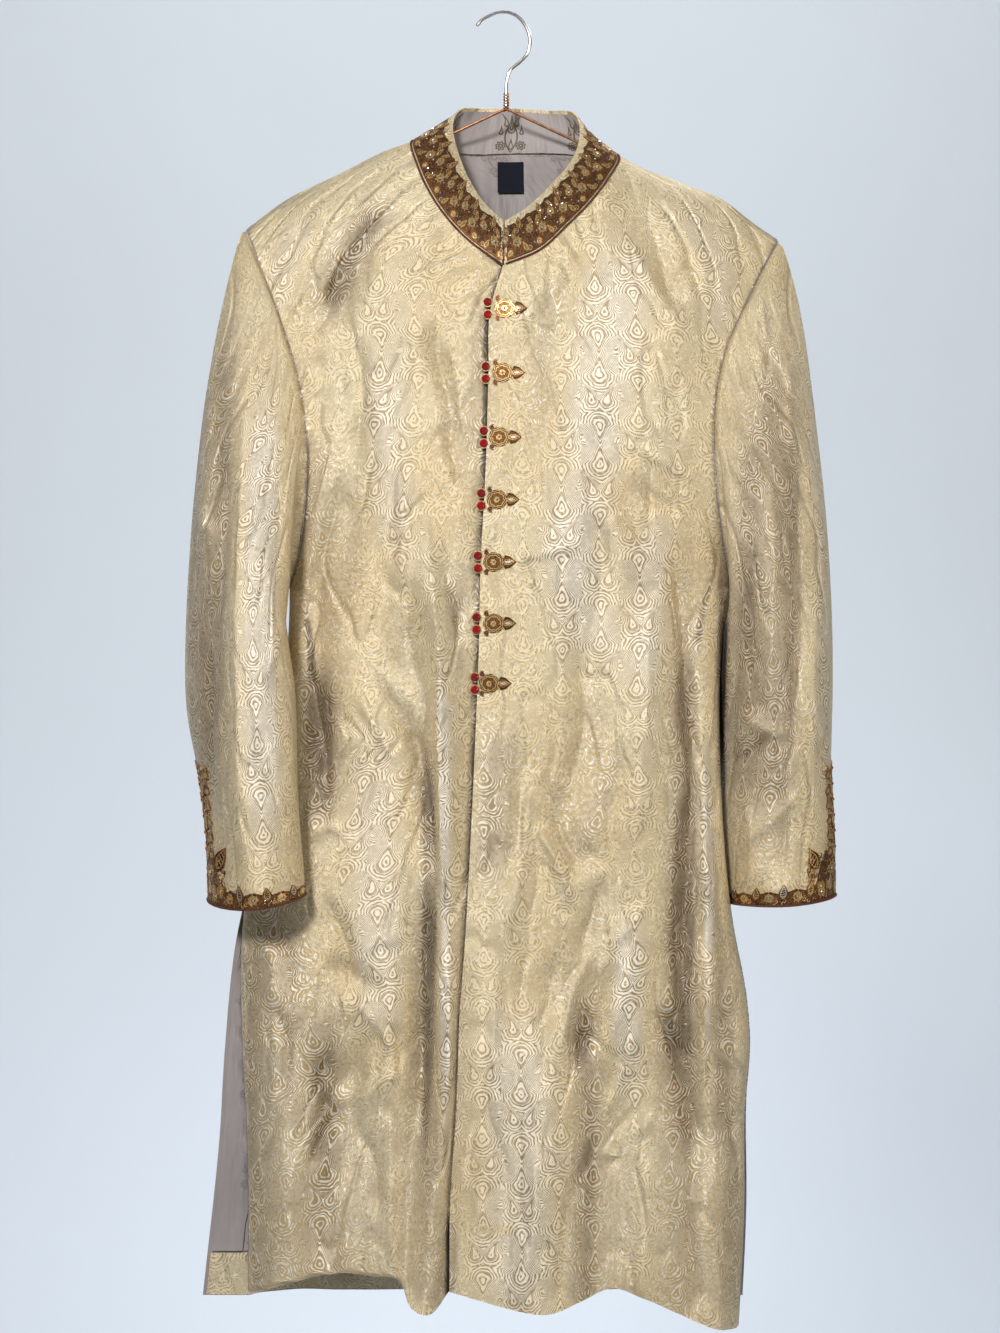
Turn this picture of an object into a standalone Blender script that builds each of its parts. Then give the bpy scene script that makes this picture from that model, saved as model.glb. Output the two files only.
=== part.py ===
"""A sherwani, a long stand-collar coat, hanging on a thin wire hanger.

Metres, +Z up.  The origin is the inside top of the hanger's hook, where the coat is held.
+X is the wearer's left, and the front of the coat faces -Y.  The wearer's left front laps over the right.
The body panels and sleeves are walls between an outer and an inner surface lofted from their sizes;
the collar is an open surface with a Solidify wall, and what lies on a panel is made from its facets.
"""

import math

import bpy
import numpy as np

MM = 0.001

# Walls and clearances (m)
CLOTH = 1.7 * MM            # brocade with its interlining
COLLAR_CLOTH = 1.8 * MM
LINING = 1.0 * MM
SEAM = 0.3 * MM             # between pieces that meet
HALF_SEAM = 0.2 * MM        # from the middle of a seam to each piece
LAP_SHIFT = 4.2 * MM        # how far the underlap lies behind the overlap
LAP_FADE = 24 * MM          # over which it comes level again, outside the placket edge
LAP_WIDTH = 38 * MM         # how far the underlap reaches past the placket edge

# How many cells each piece has across and down
FRONT_CELLS = (14, 35)
BACK_CELLS = (8, 20)
SLEEVE_RINGS = 24
COLLAR_CELLS = (5, 8, 3)     # behind the shoulder seam, before it, and up
FINE = (10, 6)              # finer steps in each front and back cell, which the cells are spaced along
ARMHOLE_ROWS = {"front": 12, "back": 7}    # rows of cells beside the armhole
FRONT_PARTINGS = (("upper", 7), ("middle", 15), ("lower", 35))     # each panel's pieces and their last rows
BACK_PARTINGS = (("upper", 9), ("lower", 20))
FRONT_TOP_CELLS = {"right": (2, 6, 6), "left": (0, 8, 6)}   # lap, neck, shoulder
BACK_TOP_CELLS = (3, 5)                    # neck, shoulder

# Shoulder line: x, z of its ridge from one sleeve cap to the other (mm)
SHOULDER_X = (-238, -201, -152, -108, -85, 0, 105, 126, 163, 202, 231, 253)
SHOULDER_Z = (-199, -172, -148, -126, -118, -73, -130, -142, -156, -172, -194, -209)
NECK_RIDGE = (4, 6)         # the points of it at the right and the left side of the neck

# Half widths of the body at each height, for the wearer's right (-X) and left (+X) side (mm)
WIDTH_RIGHT = (  # height, half width
    (-200, 262), (-300, 232), (-399, 210), (-533, 198), (-627, 204), (-744, 224),
    (-828, 240), (-962, 241), (-1031, 237), (-1187, 235),
)
WIDTH_LEFT = (
    (-200, 277), (-300, 245), (-399, 222), (-533, 210), (-585, 202), (-691, 200), (-771, 204),
    (-838, 211), (-916, 224), (-949, 226), (-1005, 222), (-1103, 221), (-1219, 215),
)

# How far the front stands forward, and the back behind, the hanger's plane (mm)
FRONT_DEPTH = ((-118, 60), (-240, 63), (-400, 68), (-600, 64), (-850, 60), (-1190, 62))
BACK_DEPTH = ((-118, 36), (-240, 40), (-400, 42), (-700, 38), (-1190, 40))
FRONT_EDGE_Y = ((-120, 0), (-300, -2), (-533, -4), (-820, -4), (-1190, -16))
BACK_EDGE_Y = ((-120, 0), (-300, -2), (-533, -4), (-820, -4), (-1190, 20))
FRONT_ROUND = 2.6           # superellipse power of the front half's cross-section
BACK_ROUND = 3.0
FRONT_SHOULDER = (200 * MM, 1.6)   # drop over which the shoulder rounds, and its power
BACK_SHOULDER = (150 * MM, 2.2)

# Placket edge of the overlap, from the collar to the hem: x, z (mm)
PLACKET = (
    (-1, -243), (-12, -281), (-14, -341), (-17, -436), (-21, -510), (-23, -598), (-26, -671),
    (-32, -796), (-35, -850), (-39, -913), (-42, -997), (-48, -1087), (-49, -1162),
)

# Neck seam, from the centre back over each shoulder to the centre front: x, z (mm)
NECK_RIGHT = (
    (6, -123), (-32, -124), (-62, -121), (-84, -118), (-79, -147), (-59, -188), (-34, -218), (-1, -243),
)
NECK_LEFT = (
    (6, -123), (43, -124), (80, -127), (105, -131), (95, -158), (79, -181), (56, -206), (33, -228),
    (-1, -243),
)
NECK_SHOULDER = 3           # row of the neck seam where the shoulder seam meets it

# Top edge of the collar over the same route: x, y, z (mm)
COLLAR_TOP_RIGHT = (
    (8, 33, -80), (-20, 28, -81), (-41, 13, -85), (-47, 0, -101), (-42, -15, -131), (-32, -27, -158),
    (-16, -38, -184), (0, -44, -200),
)
COLLAR_TOP_LEFT = (
    (8, 33, -80), (40, 28, -83), (66, 13, -89), (70, 0, -112), (62, -15, -138), (43, -27, -163),
    (18, -38, -188), (0, -44, -200),
)
COLLAR_BULGE = 2.5 * MM     # how far the band bows outwards at mid height
COLLAR_LIFT = 3.0 * MM      # the band's lower edge above the neck seam

# Hem: x, z of the front's lower edge (mm)
HEM_RIGHT = (
    (-49, -1166), (-67, -1184), (-82, -1181), (-97, -1156), (-119, -1155), (-150, -1152), (-190, -1159),
    (-235, -1176),
)
HEM_LEFT = (
    (-49, -1166), (-19, -1175), (10, -1182), (40, -1184), (70, -1175), (100, -1166), (127, -1174),
    (155, -1187), (190, -1202), (214, -1208),
)
BACK_HEM_Z = -1190 * MM
BACK_CENTRE_X = -8 * MM     # the centre back seam at the hem
BACK_FLARE = 46 * MM        # how far the back's slit edge swings out past the front's at the hem
BACK_FLARE_LEFT = 6 * MM
SLIT_TOP = -815 * MM
SEAM_OPENS = 45 * MM        # below the slit's top the edges are this far down before they stand clear

# Armholes: the seam from the shoulder to the underarm, before and behind: x, y, z (mm)
ARMHOLES = {
    ("right", "front"): (
        (-238, 0, -199), (-225, -12, -232), (-211, -22, -267), (-198, -31, -305), (-188, -37, -338),
        (-182, -41, -370), (-179, -43, -402), (-180, -42, -445), (-184, -35, -485), (-190, -23, -513),
        (-196, -12, -528), (-198, -4, -533),
    ),
    ("right", "back"): (
        (-238, 0, -199), (-226, 10, -235), (-212, 19, -275), (-198, 27, -320), (-189, 32, -370),
        (-186, 33, -410), (-187, 31, -460), (-191, 23, -500), (-196, 9, -525), (-198, -4, -533),
    ),
    ("left", "front"): (
        (253, 0, -209), (236, -12, -241), (222, -22, -269), (206, -31, -303), (196, -38, -335),
        (191, -42, -367), (190, -43, -400), (193, -42, -442), (198, -35, -482), (204, -22, -512),
        (208, -12, -527), (210, -4, -533),
    ),
    ("left", "back"): (
        (253, 0, -209), (240, 10, -240), (225, 19, -280), (210, 27, -325), (201, 32, -370),
        (198, 33, -405), (199, 31, -455), (203, 23, -498), (208, 9, -524), (210, -4, -533),
    ),
}

# Folds of the fronts: x and z of the top, middle and foot of the line, its half width, and how far it
# rises (+) or sinks (-), all in mm
FOLDS_RIGHT = (
    (-70, -160, -143, -248, -162, -304, 17, -7),
    (-80, -170, -90, -270, -85, -365, 22, 6),
    (-67, -284, -46, -370, -42, -440, 13, -6),
    (-130, -329, -135, -450, -166, -617, 18, -7),
    (-184, -480, -170, -617, -157, -752, 18, -8),
    (-76, -425, -56, -640, -58, -850, 14, 11),
    (-58, -800, -52, -930, -72, -1185, 15, 13),
    (-103, -520, -72, -690, -67, -800, 17, -9),
    (-70, -760, -74, -930, -88, -1160, 15, -9),
    (-100, -600, -76, -650, -56, -712, 10, 5),
    (-160, -862, -136, -884, -108, -900, 9, -5),
    (-148, -1004, -130, -960, -100, -920, 10, -5),
    (-150, -900, -140, -1040, -130, -1170, 34, -9),
    (-205, -850, -200, -1000, -205, -1180, 20, 7),
    (-112, -200, -118, -330, -112, -440, 20, 5),
)
FOLDS_LEFT = (
    (77, -205, 37, -284, 14, -347, 14, -5),
    (122, -194, 146, -235, 148, -285, 14, -5),
    (60, -300, 66, -420, 40, -560, 22, 5),
    (104, -383, 136, -398, 170, -420, 10, 4),
    (77, -437, 98, -480, 124, -530, 11, 4),
    (68, -527, 78, -650, 56, -760, 16, -7),
    (38, -700, 62, -760, 90, -800, 12, -5),
    (163, -480, 166, -610, 176, -720, 14, -8),
    (176, -690, 160, -840, 158, -930, 14, -9),
    (158, -900, 164, -980, 178, -1090, 14, -8),
    (176, -715, 186, -830, 184, -990, 10, 7),
    (90, -790, 72, -900, 48, -1010, 17, -6),
    (124, -815, 108, -900, 84, -1000, 16, 6),
    (30, -880, 40, -1020, 38, -1190, 28, 10),
    (100, -900, 98, -1040, 94, -1180, 24, -10),
    (186, -1010, 190, -1100, 196, -1205, 22, 9),
    (0, -620, 6, -760, -6, -900, 14, 5),
    (120, -560, 128, -660, 122, -780, 16, 6),
)
FOLDS_BACK = (
    (-60, -220, -90, -330, -100, -450, 24, 6),
    (70, -230, 100, -340, 108, -460, 24, 6),
    (-120, -500, -110, -700, -118, -960, 24, -7),
    (-60, -620, -66, -860, -60, -1180, 26, 8),
    (40, -560, 52, -800, 50, -1180, 24, -8),
    (120, -520, 130, -760, 140, -1180, 24, 8),
    (-170, -700, -180, -920, -190, -1180, 24, 7),
)
FOLD_POINTS = 25            # points that a fold's line is measured from
FOLD_TAPER = 0.3            # a fold rises and dies over this share of its length
FOLD_TO_HEM = -1150         # a fold whose foot is lower than this runs out at the hem (mm)
SEAM_CALM = 24 * MM         # folds die out over this distance from the side seams and armholes
EVEN_BY = 0.3               # share of the height below which a row's cells are all one width
NECK_CALM = 3               # and over this many rows of cells from the neck and shoulder
SIDE_FIT = 0.3              # share of the width over which a panel is brought to its side edge
NECK_FIT = 0.1              # and of the height, to its neck edge

# Sleeves: a row for each section from the armhole down, with the x, y, z of its outer, front, inner
# and back points (mm)
SLEEVE_RIGHT = (
    ((-238, 0, -199), (-178, -44, -405), (-198, -4, -533), (-186, 33, -400)),
    ((-246, -1, -212), (-186, -56, -404), (-212, -10, -531), (-195, 36, -402)),
    ((-264, -6, -290), (-202, -78, -450), (-206, -34, -556), (-214, 38, -445)),
    ((-277, -12, -375), (-222, -92, -492), (-195, -56, -584), (-232, 34, -490)),
    ((-287, -16, -475), (-230, -99, -550), (-188, -67, -620), (-242, 26, -552)),
    ((-292, -19, -570), (-230, -102, -615), (-186, -69, -660), (-243, 12, -618)),
    ((-291, -22, -640), (-229, -103, -672), (-185, -71, -705), (-243, -4, -676)),
    ((-280, -26, -700), (-228, -103, -722), (-183, -72, -742), (-240, -20, -724)),
    ((-272, -29, -755), (-227, -102, -767), (-180, -72, -776), (-236, -31, -768)),
    ((-269, -32, -815), (-226, -101, -819), (-178, -71, -807), (-230, -40, -814)),
)
SLEEVE_LEFT = (
    ((253, 0, -209), (190, -44, -400), (210, -4, -533), (198, 33, -398)),
    ((261, 0, -224), (197, -52, -402), (224, 0, -531), (207, 36, -399)),
    ((275, -1, -280), (214, -62, -446), (227, 6, -552), (224, 42, -440)),
    ((286, 0, -355), (232, -66, -490), (223, 11, -582), (241, 46, -482)),
    ((296, 2, -445), (249, -62, -545), (217, 13, -618), (252, 48, -540)),
    ((302, 4, -535), (256, -56, -602), (213, 14, -655), (258, 48, -600)),
    ((304, 6, -615), (258, -49, -660), (211, 15, -700), (258, 48, -660)),
    ((303, 8, -695), (257, -43, -722), (209, 16, -748), (257, 47, -722)),
    ((306, 8, -755), (258, -39, -770), (211, 16, -788), (258, 45, -770)),
    ((307, 8, -815), (258, -36, -822), (213, 16, -822), (258, 43, -820)),
)
SLEEVE_CREASE = 1.16        # how much sharper than an ellipse the lower sleeve's section is
CREASE_SHARE = 0.4          # share of its length over which the section sharpens
CAP_FADE = 0.25             # share of its length over which a sleeve leaves the armhole's shape
SLEEVE_INSETS = (1.3 * MM, 1.2 * MM, 0.8 * MM)     # how far the first rings lie inside the armhole
SLEEVE_START = 0.9 * MM     # sleeve's first ring beyond the armhole
SLEEVE_SPACING = 1.35       # rings lie closer together near the cap

# Beadwork bands
BEAD_LIFT = 0.35 * MM
BEAD_THICK = 1.2 * MM
BEAD_RELIEF = 0.6 * MM
COLLAR_BAND = (0.22, 2.3, 0.35)     # lower edge, upper edge and leaf tips, in the collar's cells
COLLAR_BAND_LEVELS = (1, 2)         # and the creases between
COLLAR_BAND_STEPS = 3               # points a cell
CUFF_BAND = (4.5 * MM, 15 * MM, 6 * MM)      # lower edge, upper edge and scallop height above the cuff's edge
CUFF_BAND_STEPS = 2         # points a cell round the cuff
CUFF_BAND_ROWS = 2
CUFF_SCALLOPS = 9
CUFF_STRIP = (24 * MM, 132 * MM, 11 * MM)  # foot and top above the cuff's edge, and width
CUFF_STRIP_CELLS = (2, 10)
CORD_RADIUS = 1.4 * MM
CORD_LIFT = 1.25 * MM
CORD_POINTS = 21
CORD_END = 0.99

COLLAR_BAND_ENDS = (0.1, 0.1)   # in cells, short of the centre back and the centre front
COLLAR_FRONT_TRIM = 1.0 * MM
COLLAR_BACK_TRIM = 0.3 * MM
COLLAR_LINING_CELLS = 3.6   # cells each side of the centre back that the lining covers
COLLAR_LINING_ROWS = (0.3, 2.75)
NECK_AXIS = (0.008, -0.004, -0.13)   # a point inside the neck
STRIP_RIPPLE = 0.22
STRIP_TAPER = 0.3

# Placket motifs: x and z of their centres (mm), and their size
MOTIFS = ((3, -282), (1, -340), (-2, -398), (-4, -454), (-7, -510), (-7, -565), (-11, -619))
MOTIF_SIZE = (24 * MM, 18 * MM)
MOTIF_LIFT = 0.5 * MM
MOTIF_THICK = 2.2 * MM
MOTIF_SIDES = 14
MOTIF_RINGS = ((0, 1), (0.55, 0.85), (1, 0.45), (1, 0))    # share of the outline, share of the thickness
TEARDROP_POINT = 1.2
TEARDROP_PEAK = 0.82

# Buttons, each two stones in one setting, one above the other at the placket edge
BUTTON_PROFILE = (  # radius, height (mm)
    (0, 11.0), (3.2, 9.8), (4.6, 6.0), (2.6, 0.4), (4.8, -5.6), (3.4, -9.8), (0, -11.0),
)
BUTTON_FLAT = 0.5           # depth as a share of the width
BUTTON_OFF = 5.2 * MM       # centre to the placket edge
BUTTON_STEPS = 10
BUTTON_SEAT = 0.45          # share of its width and height over which a button rests on the cloth

# Hanger
HOOK_RADIUS = 1.6 * MM
HOOK_PATH = (  # x, z (mm)
    (-25, -11), (-21, -6), (-14, -2), (-6, 1), (2, 1.6), (12, -2), (20, -11), (24, -24), (22, -36),
    (14, -45), (6, -52), (2.6, -62), (2, -74), (2, -86.7),
)
HOOK_POINTS = 22
WIRE_RADIUS = 1.35 * MM
WIRE_CORNERS = ((2, -87.5), (214, -187), (214, -196), (-210, -196), (-210, -187))  # x, z (mm)
WIRE_CORNER_RADII = (4, 6, 6, 6, 6)
WIRE_ARC_POINTS = 3

# Inner pieces
BODY_AXIS = (0, 0, -0.7)    # a point inside the body, which every wall's outer face faces away from
SHARP_DEGREES = 50
LINING_GAP = 1.2 * MM
COLLAR_LINING_GAP = 1.5 * MM
# the lining's top, in rows of cells below the neck and shoulder seams, column by column from the centre
LINING_TOPS = (0.12, 0.12, 0.12, 0.17, 0.75, 0.75, 0.75, 0.75, 0.75)
FACING_GAP = 0.04           # in rows of cells, between the lining and the facing
LABEL_CELLS = (3, 3)
LABEL_LIFT = 1.0 * MM
LABEL_SIZE = (24 * MM, 28 * MM)
LABEL_PLACE = (6 * MM, -146 * MM)
LABEL_THICK = 0.8 * MM
LINING_EDGE = 1             # in cells, how far the back lining stops short of each side edge
FACING_EDGE = 0.1           # and the facing
SLIT_LINING_EDGES = (0.12, 0.97)
FACING_DEPTH = 0.8          # share of the hem's row of cells that the facing covers

COLOURS = {  # base colour, roughness, metallic
    "brocade": ((0.80, 0.69, 0.44), 0.45, 0.15),
    "beadwork": ((0.36, 0.18, 0.08), 0.40, 0.60),
    "copper_cord": ((0.38, 0.14, 0.07), 0.45, 0.40),
    "red_stone": ((0.55, 0.01, 0.02), 0.15, 0.0),
    "lining": ((0.36, 0.31, 0.31), 0.50, 0.0),
    "label": ((0.02, 0.02, 0.02), 0.60, 0.0),
    "chrome": ((0.80, 0.80, 0.82), 0.12, 1.0),
    "copper": ((0.60, 0.28, 0.16), 0.25, 1.0),
}


# Scene and materials

def clear_scene():
    for obj in list(bpy.data.objects):
        bpy.data.objects.remove(obj, do_unlink=True)


def new_collection(name):
    collection = bpy.data.collections.new(name)
    bpy.context.scene.collection.children.link(collection)
    return collection


def material(name):
    found = bpy.data.materials.get(name)
    if found:
        return found
    colour, roughness, metallic = COLOURS[name]
    made = bpy.data.materials.new(name)
    made.use_nodes = True
    shader = made.node_tree.nodes["Principled BSDF"]
    shader.inputs["Base Color"].default_value = (*colour, 1)
    shader.inputs["Roughness"].default_value = roughness
    shader.inputs["Metallic"].default_value = metallic
    return made


def add_object(name, data, finish):
    obj = bpy.data.objects.new(name, data)
    obj.data.materials.append(material(finish))
    COAT.objects.link(obj)
    return obj


# Curves and tables

def hermite(knots, values, at):
    """A smooth curve through the values at the knots, read at other places."""
    slopes = np.gradient(values, knots, axis=0)
    at = np.clip(at, knots[0], knots[-1])
    cell = np.clip(np.searchsorted(knots, at, side="right") - 1, 0, len(knots) - 2)
    length = (knots[cell + 1] - knots[cell])[..., None]
    t = (at - knots[cell])[..., None] / length
    return (
        (2 * t**3 - 3 * t**2 + 1) * values[cell]
        + (t**3 - 2 * t**2 + t) * slopes[cell] * length
        + (3 * t**2 - 2 * t**3) * values[cell + 1]
        + (t**3 - t**2) * slopes[cell + 1] * length
    )


def chords(points):
    """Length along the points, up to each of them."""
    return np.concatenate(([0], np.cumsum(np.linalg.norm(np.diff(points, axis=0), axis=1))))


def spline(points, shares):
    """Positions at shares of the length of a smooth curve through the points."""
    points = np.asarray(points, float)
    knots = chords(points)
    return hermite(knots, points, np.asarray(shares) * knots[-1])


def by_row(points, shares):
    """The same with every row of the table an equal share."""
    points = np.asarray(points, float)
    return hermite(np.linspace(0, 1, len(points)), points, np.asarray(shares))


def by_height(rows, heights):
    """A smooth value at each height (m) from a table of heights and values (mm)."""
    rows = np.asarray(rows, float) * MM
    return hermite(-rows[:, 0], rows[:, 1:], -np.asarray(heights))[..., 0]


def ease(value):
    value = np.clip(value, 0, 1)
    return value * value * (3 - 2 * value)


# The coat's surfaces as heights over the x, z plane

def edge_y(half, heights):
    """y of the edge of the front or the back at each height; they are one seam down to the slit."""
    rows = np.asarray(FRONT_EDGE_Y if half == "front" else BACK_EDGE_Y, float) * MM
    return np.interp(-np.asarray(heights), -rows[:, 0], rows[:, 1])


def roundness(x, z, power, shoulder):
    """1 on the flat of the body, falling to 0 at its side seam and at the shoulder line."""
    side = np.where(x < 0, by_height(WIDTH_RIGHT, z), by_height(WIDTH_LEFT, z))
    across = np.clip(np.abs(x) / side, 0, 1)
    ridge = np.interp(x / MM, SHOULDER_X, SHOULDER_Z) * MM
    drop, shoulder_power = shoulder
    fall = np.clip((ridge - z) / drop, 0, 1)
    rise = (1 - (1 - fall) ** shoulder_power) ** (1 / shoulder_power)
    return (1 - across**power) ** (1 / power) * rise


def front_y(x, z):
    share = roundness(x, z, FRONT_ROUND, FRONT_SHOULDER)
    return edge_y("front", z) * (1 - share) - by_height(FRONT_DEPTH, z) * share


def back_y(x, z):
    share = roundness(x, z, BACK_ROUND, BACK_SHOULDER)
    return edge_y("back", z) * (1 - share) + by_height(BACK_DEPTH, z) * share


def fold_rise(x, z, folds):
    """How far the folds lift the cloth at each x, z."""
    total = np.zeros_like(x)
    for top_x, top_z, middle_x, middle_z, foot_x, foot_z, half_width, height in folds:
        shares = np.linspace(0, 1, FOLD_POINTS)
        line = spline(((top_x, top_z), (middle_x, middle_z), (foot_x, foot_z)), shares) * MM
        nearest = np.full(x.shape, np.inf)
        along = np.zeros_like(x)
        for share, (px, pz) in zip(shares, line):
            distance = (x - px) ** 2 + (z - pz) ** 2
            closer = distance < nearest
            nearest = np.where(closer, distance, nearest)
            along = np.where(closer, share, along)
        taper = ease(along / FOLD_TAPER)
        if foot_z > FOLD_TO_HEM:
            taper = taper * ease((1 - along) / FOLD_TAPER)
        total = total + height * MM * taper * np.exp(-nearest / (half_width * MM) ** 2)
    return total


def ring_points(outer, front, inner, back, angles, crease=1.0):
    """A closed section through its outer, front, inner and back points."""
    outer, front, inner, back = (np.asarray(point, float) * MM for point in (outer, front, inner, back))
    middle, half = (outer + inner) / 2, (outer - inner) / 2
    cosine, sine = np.cos(angles), np.sin(angles)
    along = (np.sign(cosine) * np.abs(cosine) ** crease)[:, None]
    deep = (np.abs(sine) ** crease)[:, None]
    reach = np.where((sine >= 0)[:, None], front - middle, back - middle)
    return middle + along * half + deep * reach


# Panels of the body

def neck_line(side):
    """The neck seam of one side, from the centre back to the centre front, and its share at the shoulder."""
    table = np.asarray(NECK_RIGHT if side == "right" else NECK_LEFT, float) * MM
    x, z = table[:, 0], table[:, 1]
    y = np.where(np.arange(len(x)) < NECK_SHOULDER, back_y(x, z), front_y(x, z))
    y[NECK_SHOULDER] = 0
    points = np.column_stack((x, y, z))
    lengths = chords(points)
    return points, lengths[NECK_SHOULDER] / lengths[-1]


def shoulder_line(side):
    """The shoulder seam from the neck to the sleeve: x, z."""
    points = np.column_stack((SHOULDER_X, SHOULDER_Z)) * MM
    return points[NECK_RIDGE[0]::-1] if side == "right" else points[NECK_RIDGE[1]:]


def steps(cells, fine):
    return np.linspace(0, 1, cells * fine + 1)


def joined(pieces):
    """Rows of points end to end, without the repeated ends."""
    return np.concatenate([piece[:-1] for piece in pieces[:-1]] + [pieces[-1]])


def fill(top, bottom, inner, outer):
    """The x, z of a patch between its four edges."""
    u = np.linspace(0, 1, len(top))[None, :, None]
    v = np.linspace(0, 1, len(inner))[:, None, None]
    corners = (
        (1 - u) * (1 - v) * top[0] + u * (1 - v) * top[-1] + (1 - u) * v * bottom[0] + u * v * bottom[-1]
    )
    across = (1 - u) * inner[:, None] + u * outer[:, None]
    down = (1 - v) * top[None] + v * bottom[None]
    return across + down - corners


def respace(points, cells):
    """Coarse rows of the fine grid, their points an even distance apart on all but the top rows."""
    rows = points[:: FINE[1]]
    lengths = np.linalg.norm(np.diff(rows, axis=1), axis=2)
    shares = np.concatenate((np.zeros((len(rows), 1)), np.cumsum(lengths, axis=1)), axis=1)
    shares /= shares[:, -1:]
    even = np.linspace(0, 1, cells + 1)
    coarse = []
    for index, (row, share) in enumerate(zip(rows, shares)):
        evenness = ease(index / (len(rows) - 1) / EVEN_BY)
        wanted = (1 - evenness) * share[:: FINE[0]] + evenness * even
        coarse.append(np.column_stack([np.interp(wanted, share, row[:, axis]) for axis in range(3)]))
    return np.array(coarse)


def body_side(sign, z):
    """x of the body's side at each height."""
    return sign * by_height(WIDTH_RIGHT if sign < 0 else WIDTH_LEFT, z)


def outer_edge(side, half, rows, hem):
    """The armhole and the side edge below it: x, y, z on the fine rows."""
    sign = -1 if side == "right" else 1
    upper = spline(ARMHOLES[side, half], steps(ARMHOLE_ROWS[half], FINE[1])) * MM
    z = upper[-1, 2] + (hem - upper[-1, 2]) * steps(rows - ARMHOLE_ROWS[half], FINE[1])
    x = body_side(sign, z)
    if half == "back":
        flare = BACK_FLARE if side == "right" else BACK_FLARE_LEFT
        x = x + sign * flare * np.clip((SLIT_TOP - z) / (SLIT_TOP - hem), 0, 1)
    x += upper[-1, 0] - x[0]
    return joined([upper, np.column_stack((x, edge_y(half, z), z))])


def drape(xz, heights, folds, edge, neck, towards):
    """Puts a patch of x, z on the body's surface, with its folds, and fits it to its outer and neck edges."""
    x, z = xz[..., 0], xz[..., 1]
    rows, columns = x.shape
    v = np.linspace(0, 1, rows)[:, None]
    u = np.linspace(0, 1, columns)[None, :]
    y = heights(x, z)
    y = y + (edge[:, 1] - y[:, -1])[:, None] * ease((u - 1 + SIDE_FIT) / SIDE_FIT)
    calm = ease(np.abs(x - edge[:, :1]) / SEAM_CALM) * ease(v * (rows - 1) / FINE[1] / NECK_CALM)
    y = y + towards * calm * fold_rise(x, z, folds)
    share = np.zeros(columns)
    share[: len(neck)] = neck[:, 1] - y[0, : len(neck)]
    y = y + share[None, :] * (1 - ease(v / NECK_FIT))
    return np.stack((x, y, z), axis=2)


def behind_seam(points, towards):
    """Keeps a panel on its own side of the shoulder and side seams, down to the slit."""
    x, y, z = points[..., 0], points[..., 1], points[..., 2]
    edge = edge_y("front" if towards < 0 else "back", z) + towards * HALF_SEAM
    y = np.where(z > SLIT_TOP - SEAM_OPENS, towards * np.maximum(towards * y, towards * edge), y)
    return np.stack((x, y, z), axis=2)


def front_panel(side):
    """The coarse outer surface of one front, its rows from the neck and shoulder to the hem."""
    sign = -1 if side == "right" else 1
    cells, rows = FRONT_CELLS
    neck, shoulder_share = neck_line(side)
    lap_cells, neck_cells, shoulder_cells = FRONT_TOP_CELLS[side]
    shares = 1 - (1 - shoulder_share) * steps(neck_cells, FINE[0])
    seam = spline(neck, shares)
    hem = np.asarray(HEM_RIGHT if side == "right" else HEM_LEFT, float) * MM
    hem_parts = [spline(hem, steps(cells - lap_cells, FINE[0]))]
    if side == "right":
        other, _ = neck_line("left")
        lap = spline(other, 1 - LAP_WIDTH / chords(other)[-1] * steps(lap_cells, FINE[0])[::-1])
        seam = joined([lap, seam])
        lap_hem = np.linspace(hem[0] + (LAP_WIDTH, 0), hem[0], lap_cells * FINE[0] + 1)
        hem_parts.insert(0, lap_hem)
    top = joined([seam[:, ::2], spline(shoulder_line(side), steps(shoulder_cells, FINE[0]))])
    bottom = joined(hem_parts)
    edge = outer_edge(side, "front", rows, bottom[-1, 1])
    bottom[-1] = edge[-1, ::2]
    z = np.linspace(top[0, 1], bottom[0, 1], rows * FINE[1] + 1)
    inner = np.column_stack((placket_x(z) + (LAP_WIDTH if side == "right" else 0), z))
    inner += np.linspace(top[0] - inner[0], bottom[0] - inner[-1], len(z))
    xz = fill(top, bottom, inner, edge[:, ::2])
    points = drape(xz, front_y, FOLDS_RIGHT + FOLDS_LEFT, edge, seam, -1)
    if side == "right":
        under = ease((xz[..., 0] - placket_x(xz[..., 1]) + LAP_FADE) / LAP_FADE)
        points[..., 1] += LAP_SHIFT * under
    return behind_seam(respace(points, cells), -1)


def placket_x(z):
    rows = [(height, across) for across, height in PLACKET]
    return by_height(rows, z)


def back_panel(side):
    """The coarse outer surface of one half of the back, from the centre seam outwards."""
    sign = -1 if side == "right" else 1
    cells, rows = BACK_CELLS
    neck_cells, shoulder_cells = BACK_TOP_CELLS
    neck, shoulder_share = neck_line(side)
    seam = spline(neck, shoulder_share * steps(neck_cells, FINE[0]))
    top = joined([seam[:, ::2], spline(shoulder_line(side), steps(shoulder_cells, FINE[0]))])
    edge = outer_edge(side, "back", rows, BACK_HEM_Z)
    centre = (BACK_CENTRE_X, BACK_HEM_Z)
    bottom = np.linspace(centre, edge[-1, ::2], cells * FINE[0] + 1)
    z = np.linspace(top[0, 1], BACK_HEM_Z, rows * FINE[1] + 1)
    inner = np.column_stack((np.linspace(top[0, 0], BACK_CENTRE_X, len(z)), z))
    xz = fill(top, bottom, inner, edge[:, ::2])
    points = drape(xz, back_y, FOLDS_BACK, edge, seam, 1)
    coarse = respace(points, cells)
    coarse[:, 0, 0] += sign * HALF_SEAM
    return behind_seam(coarse, 1)


# Walls

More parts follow.
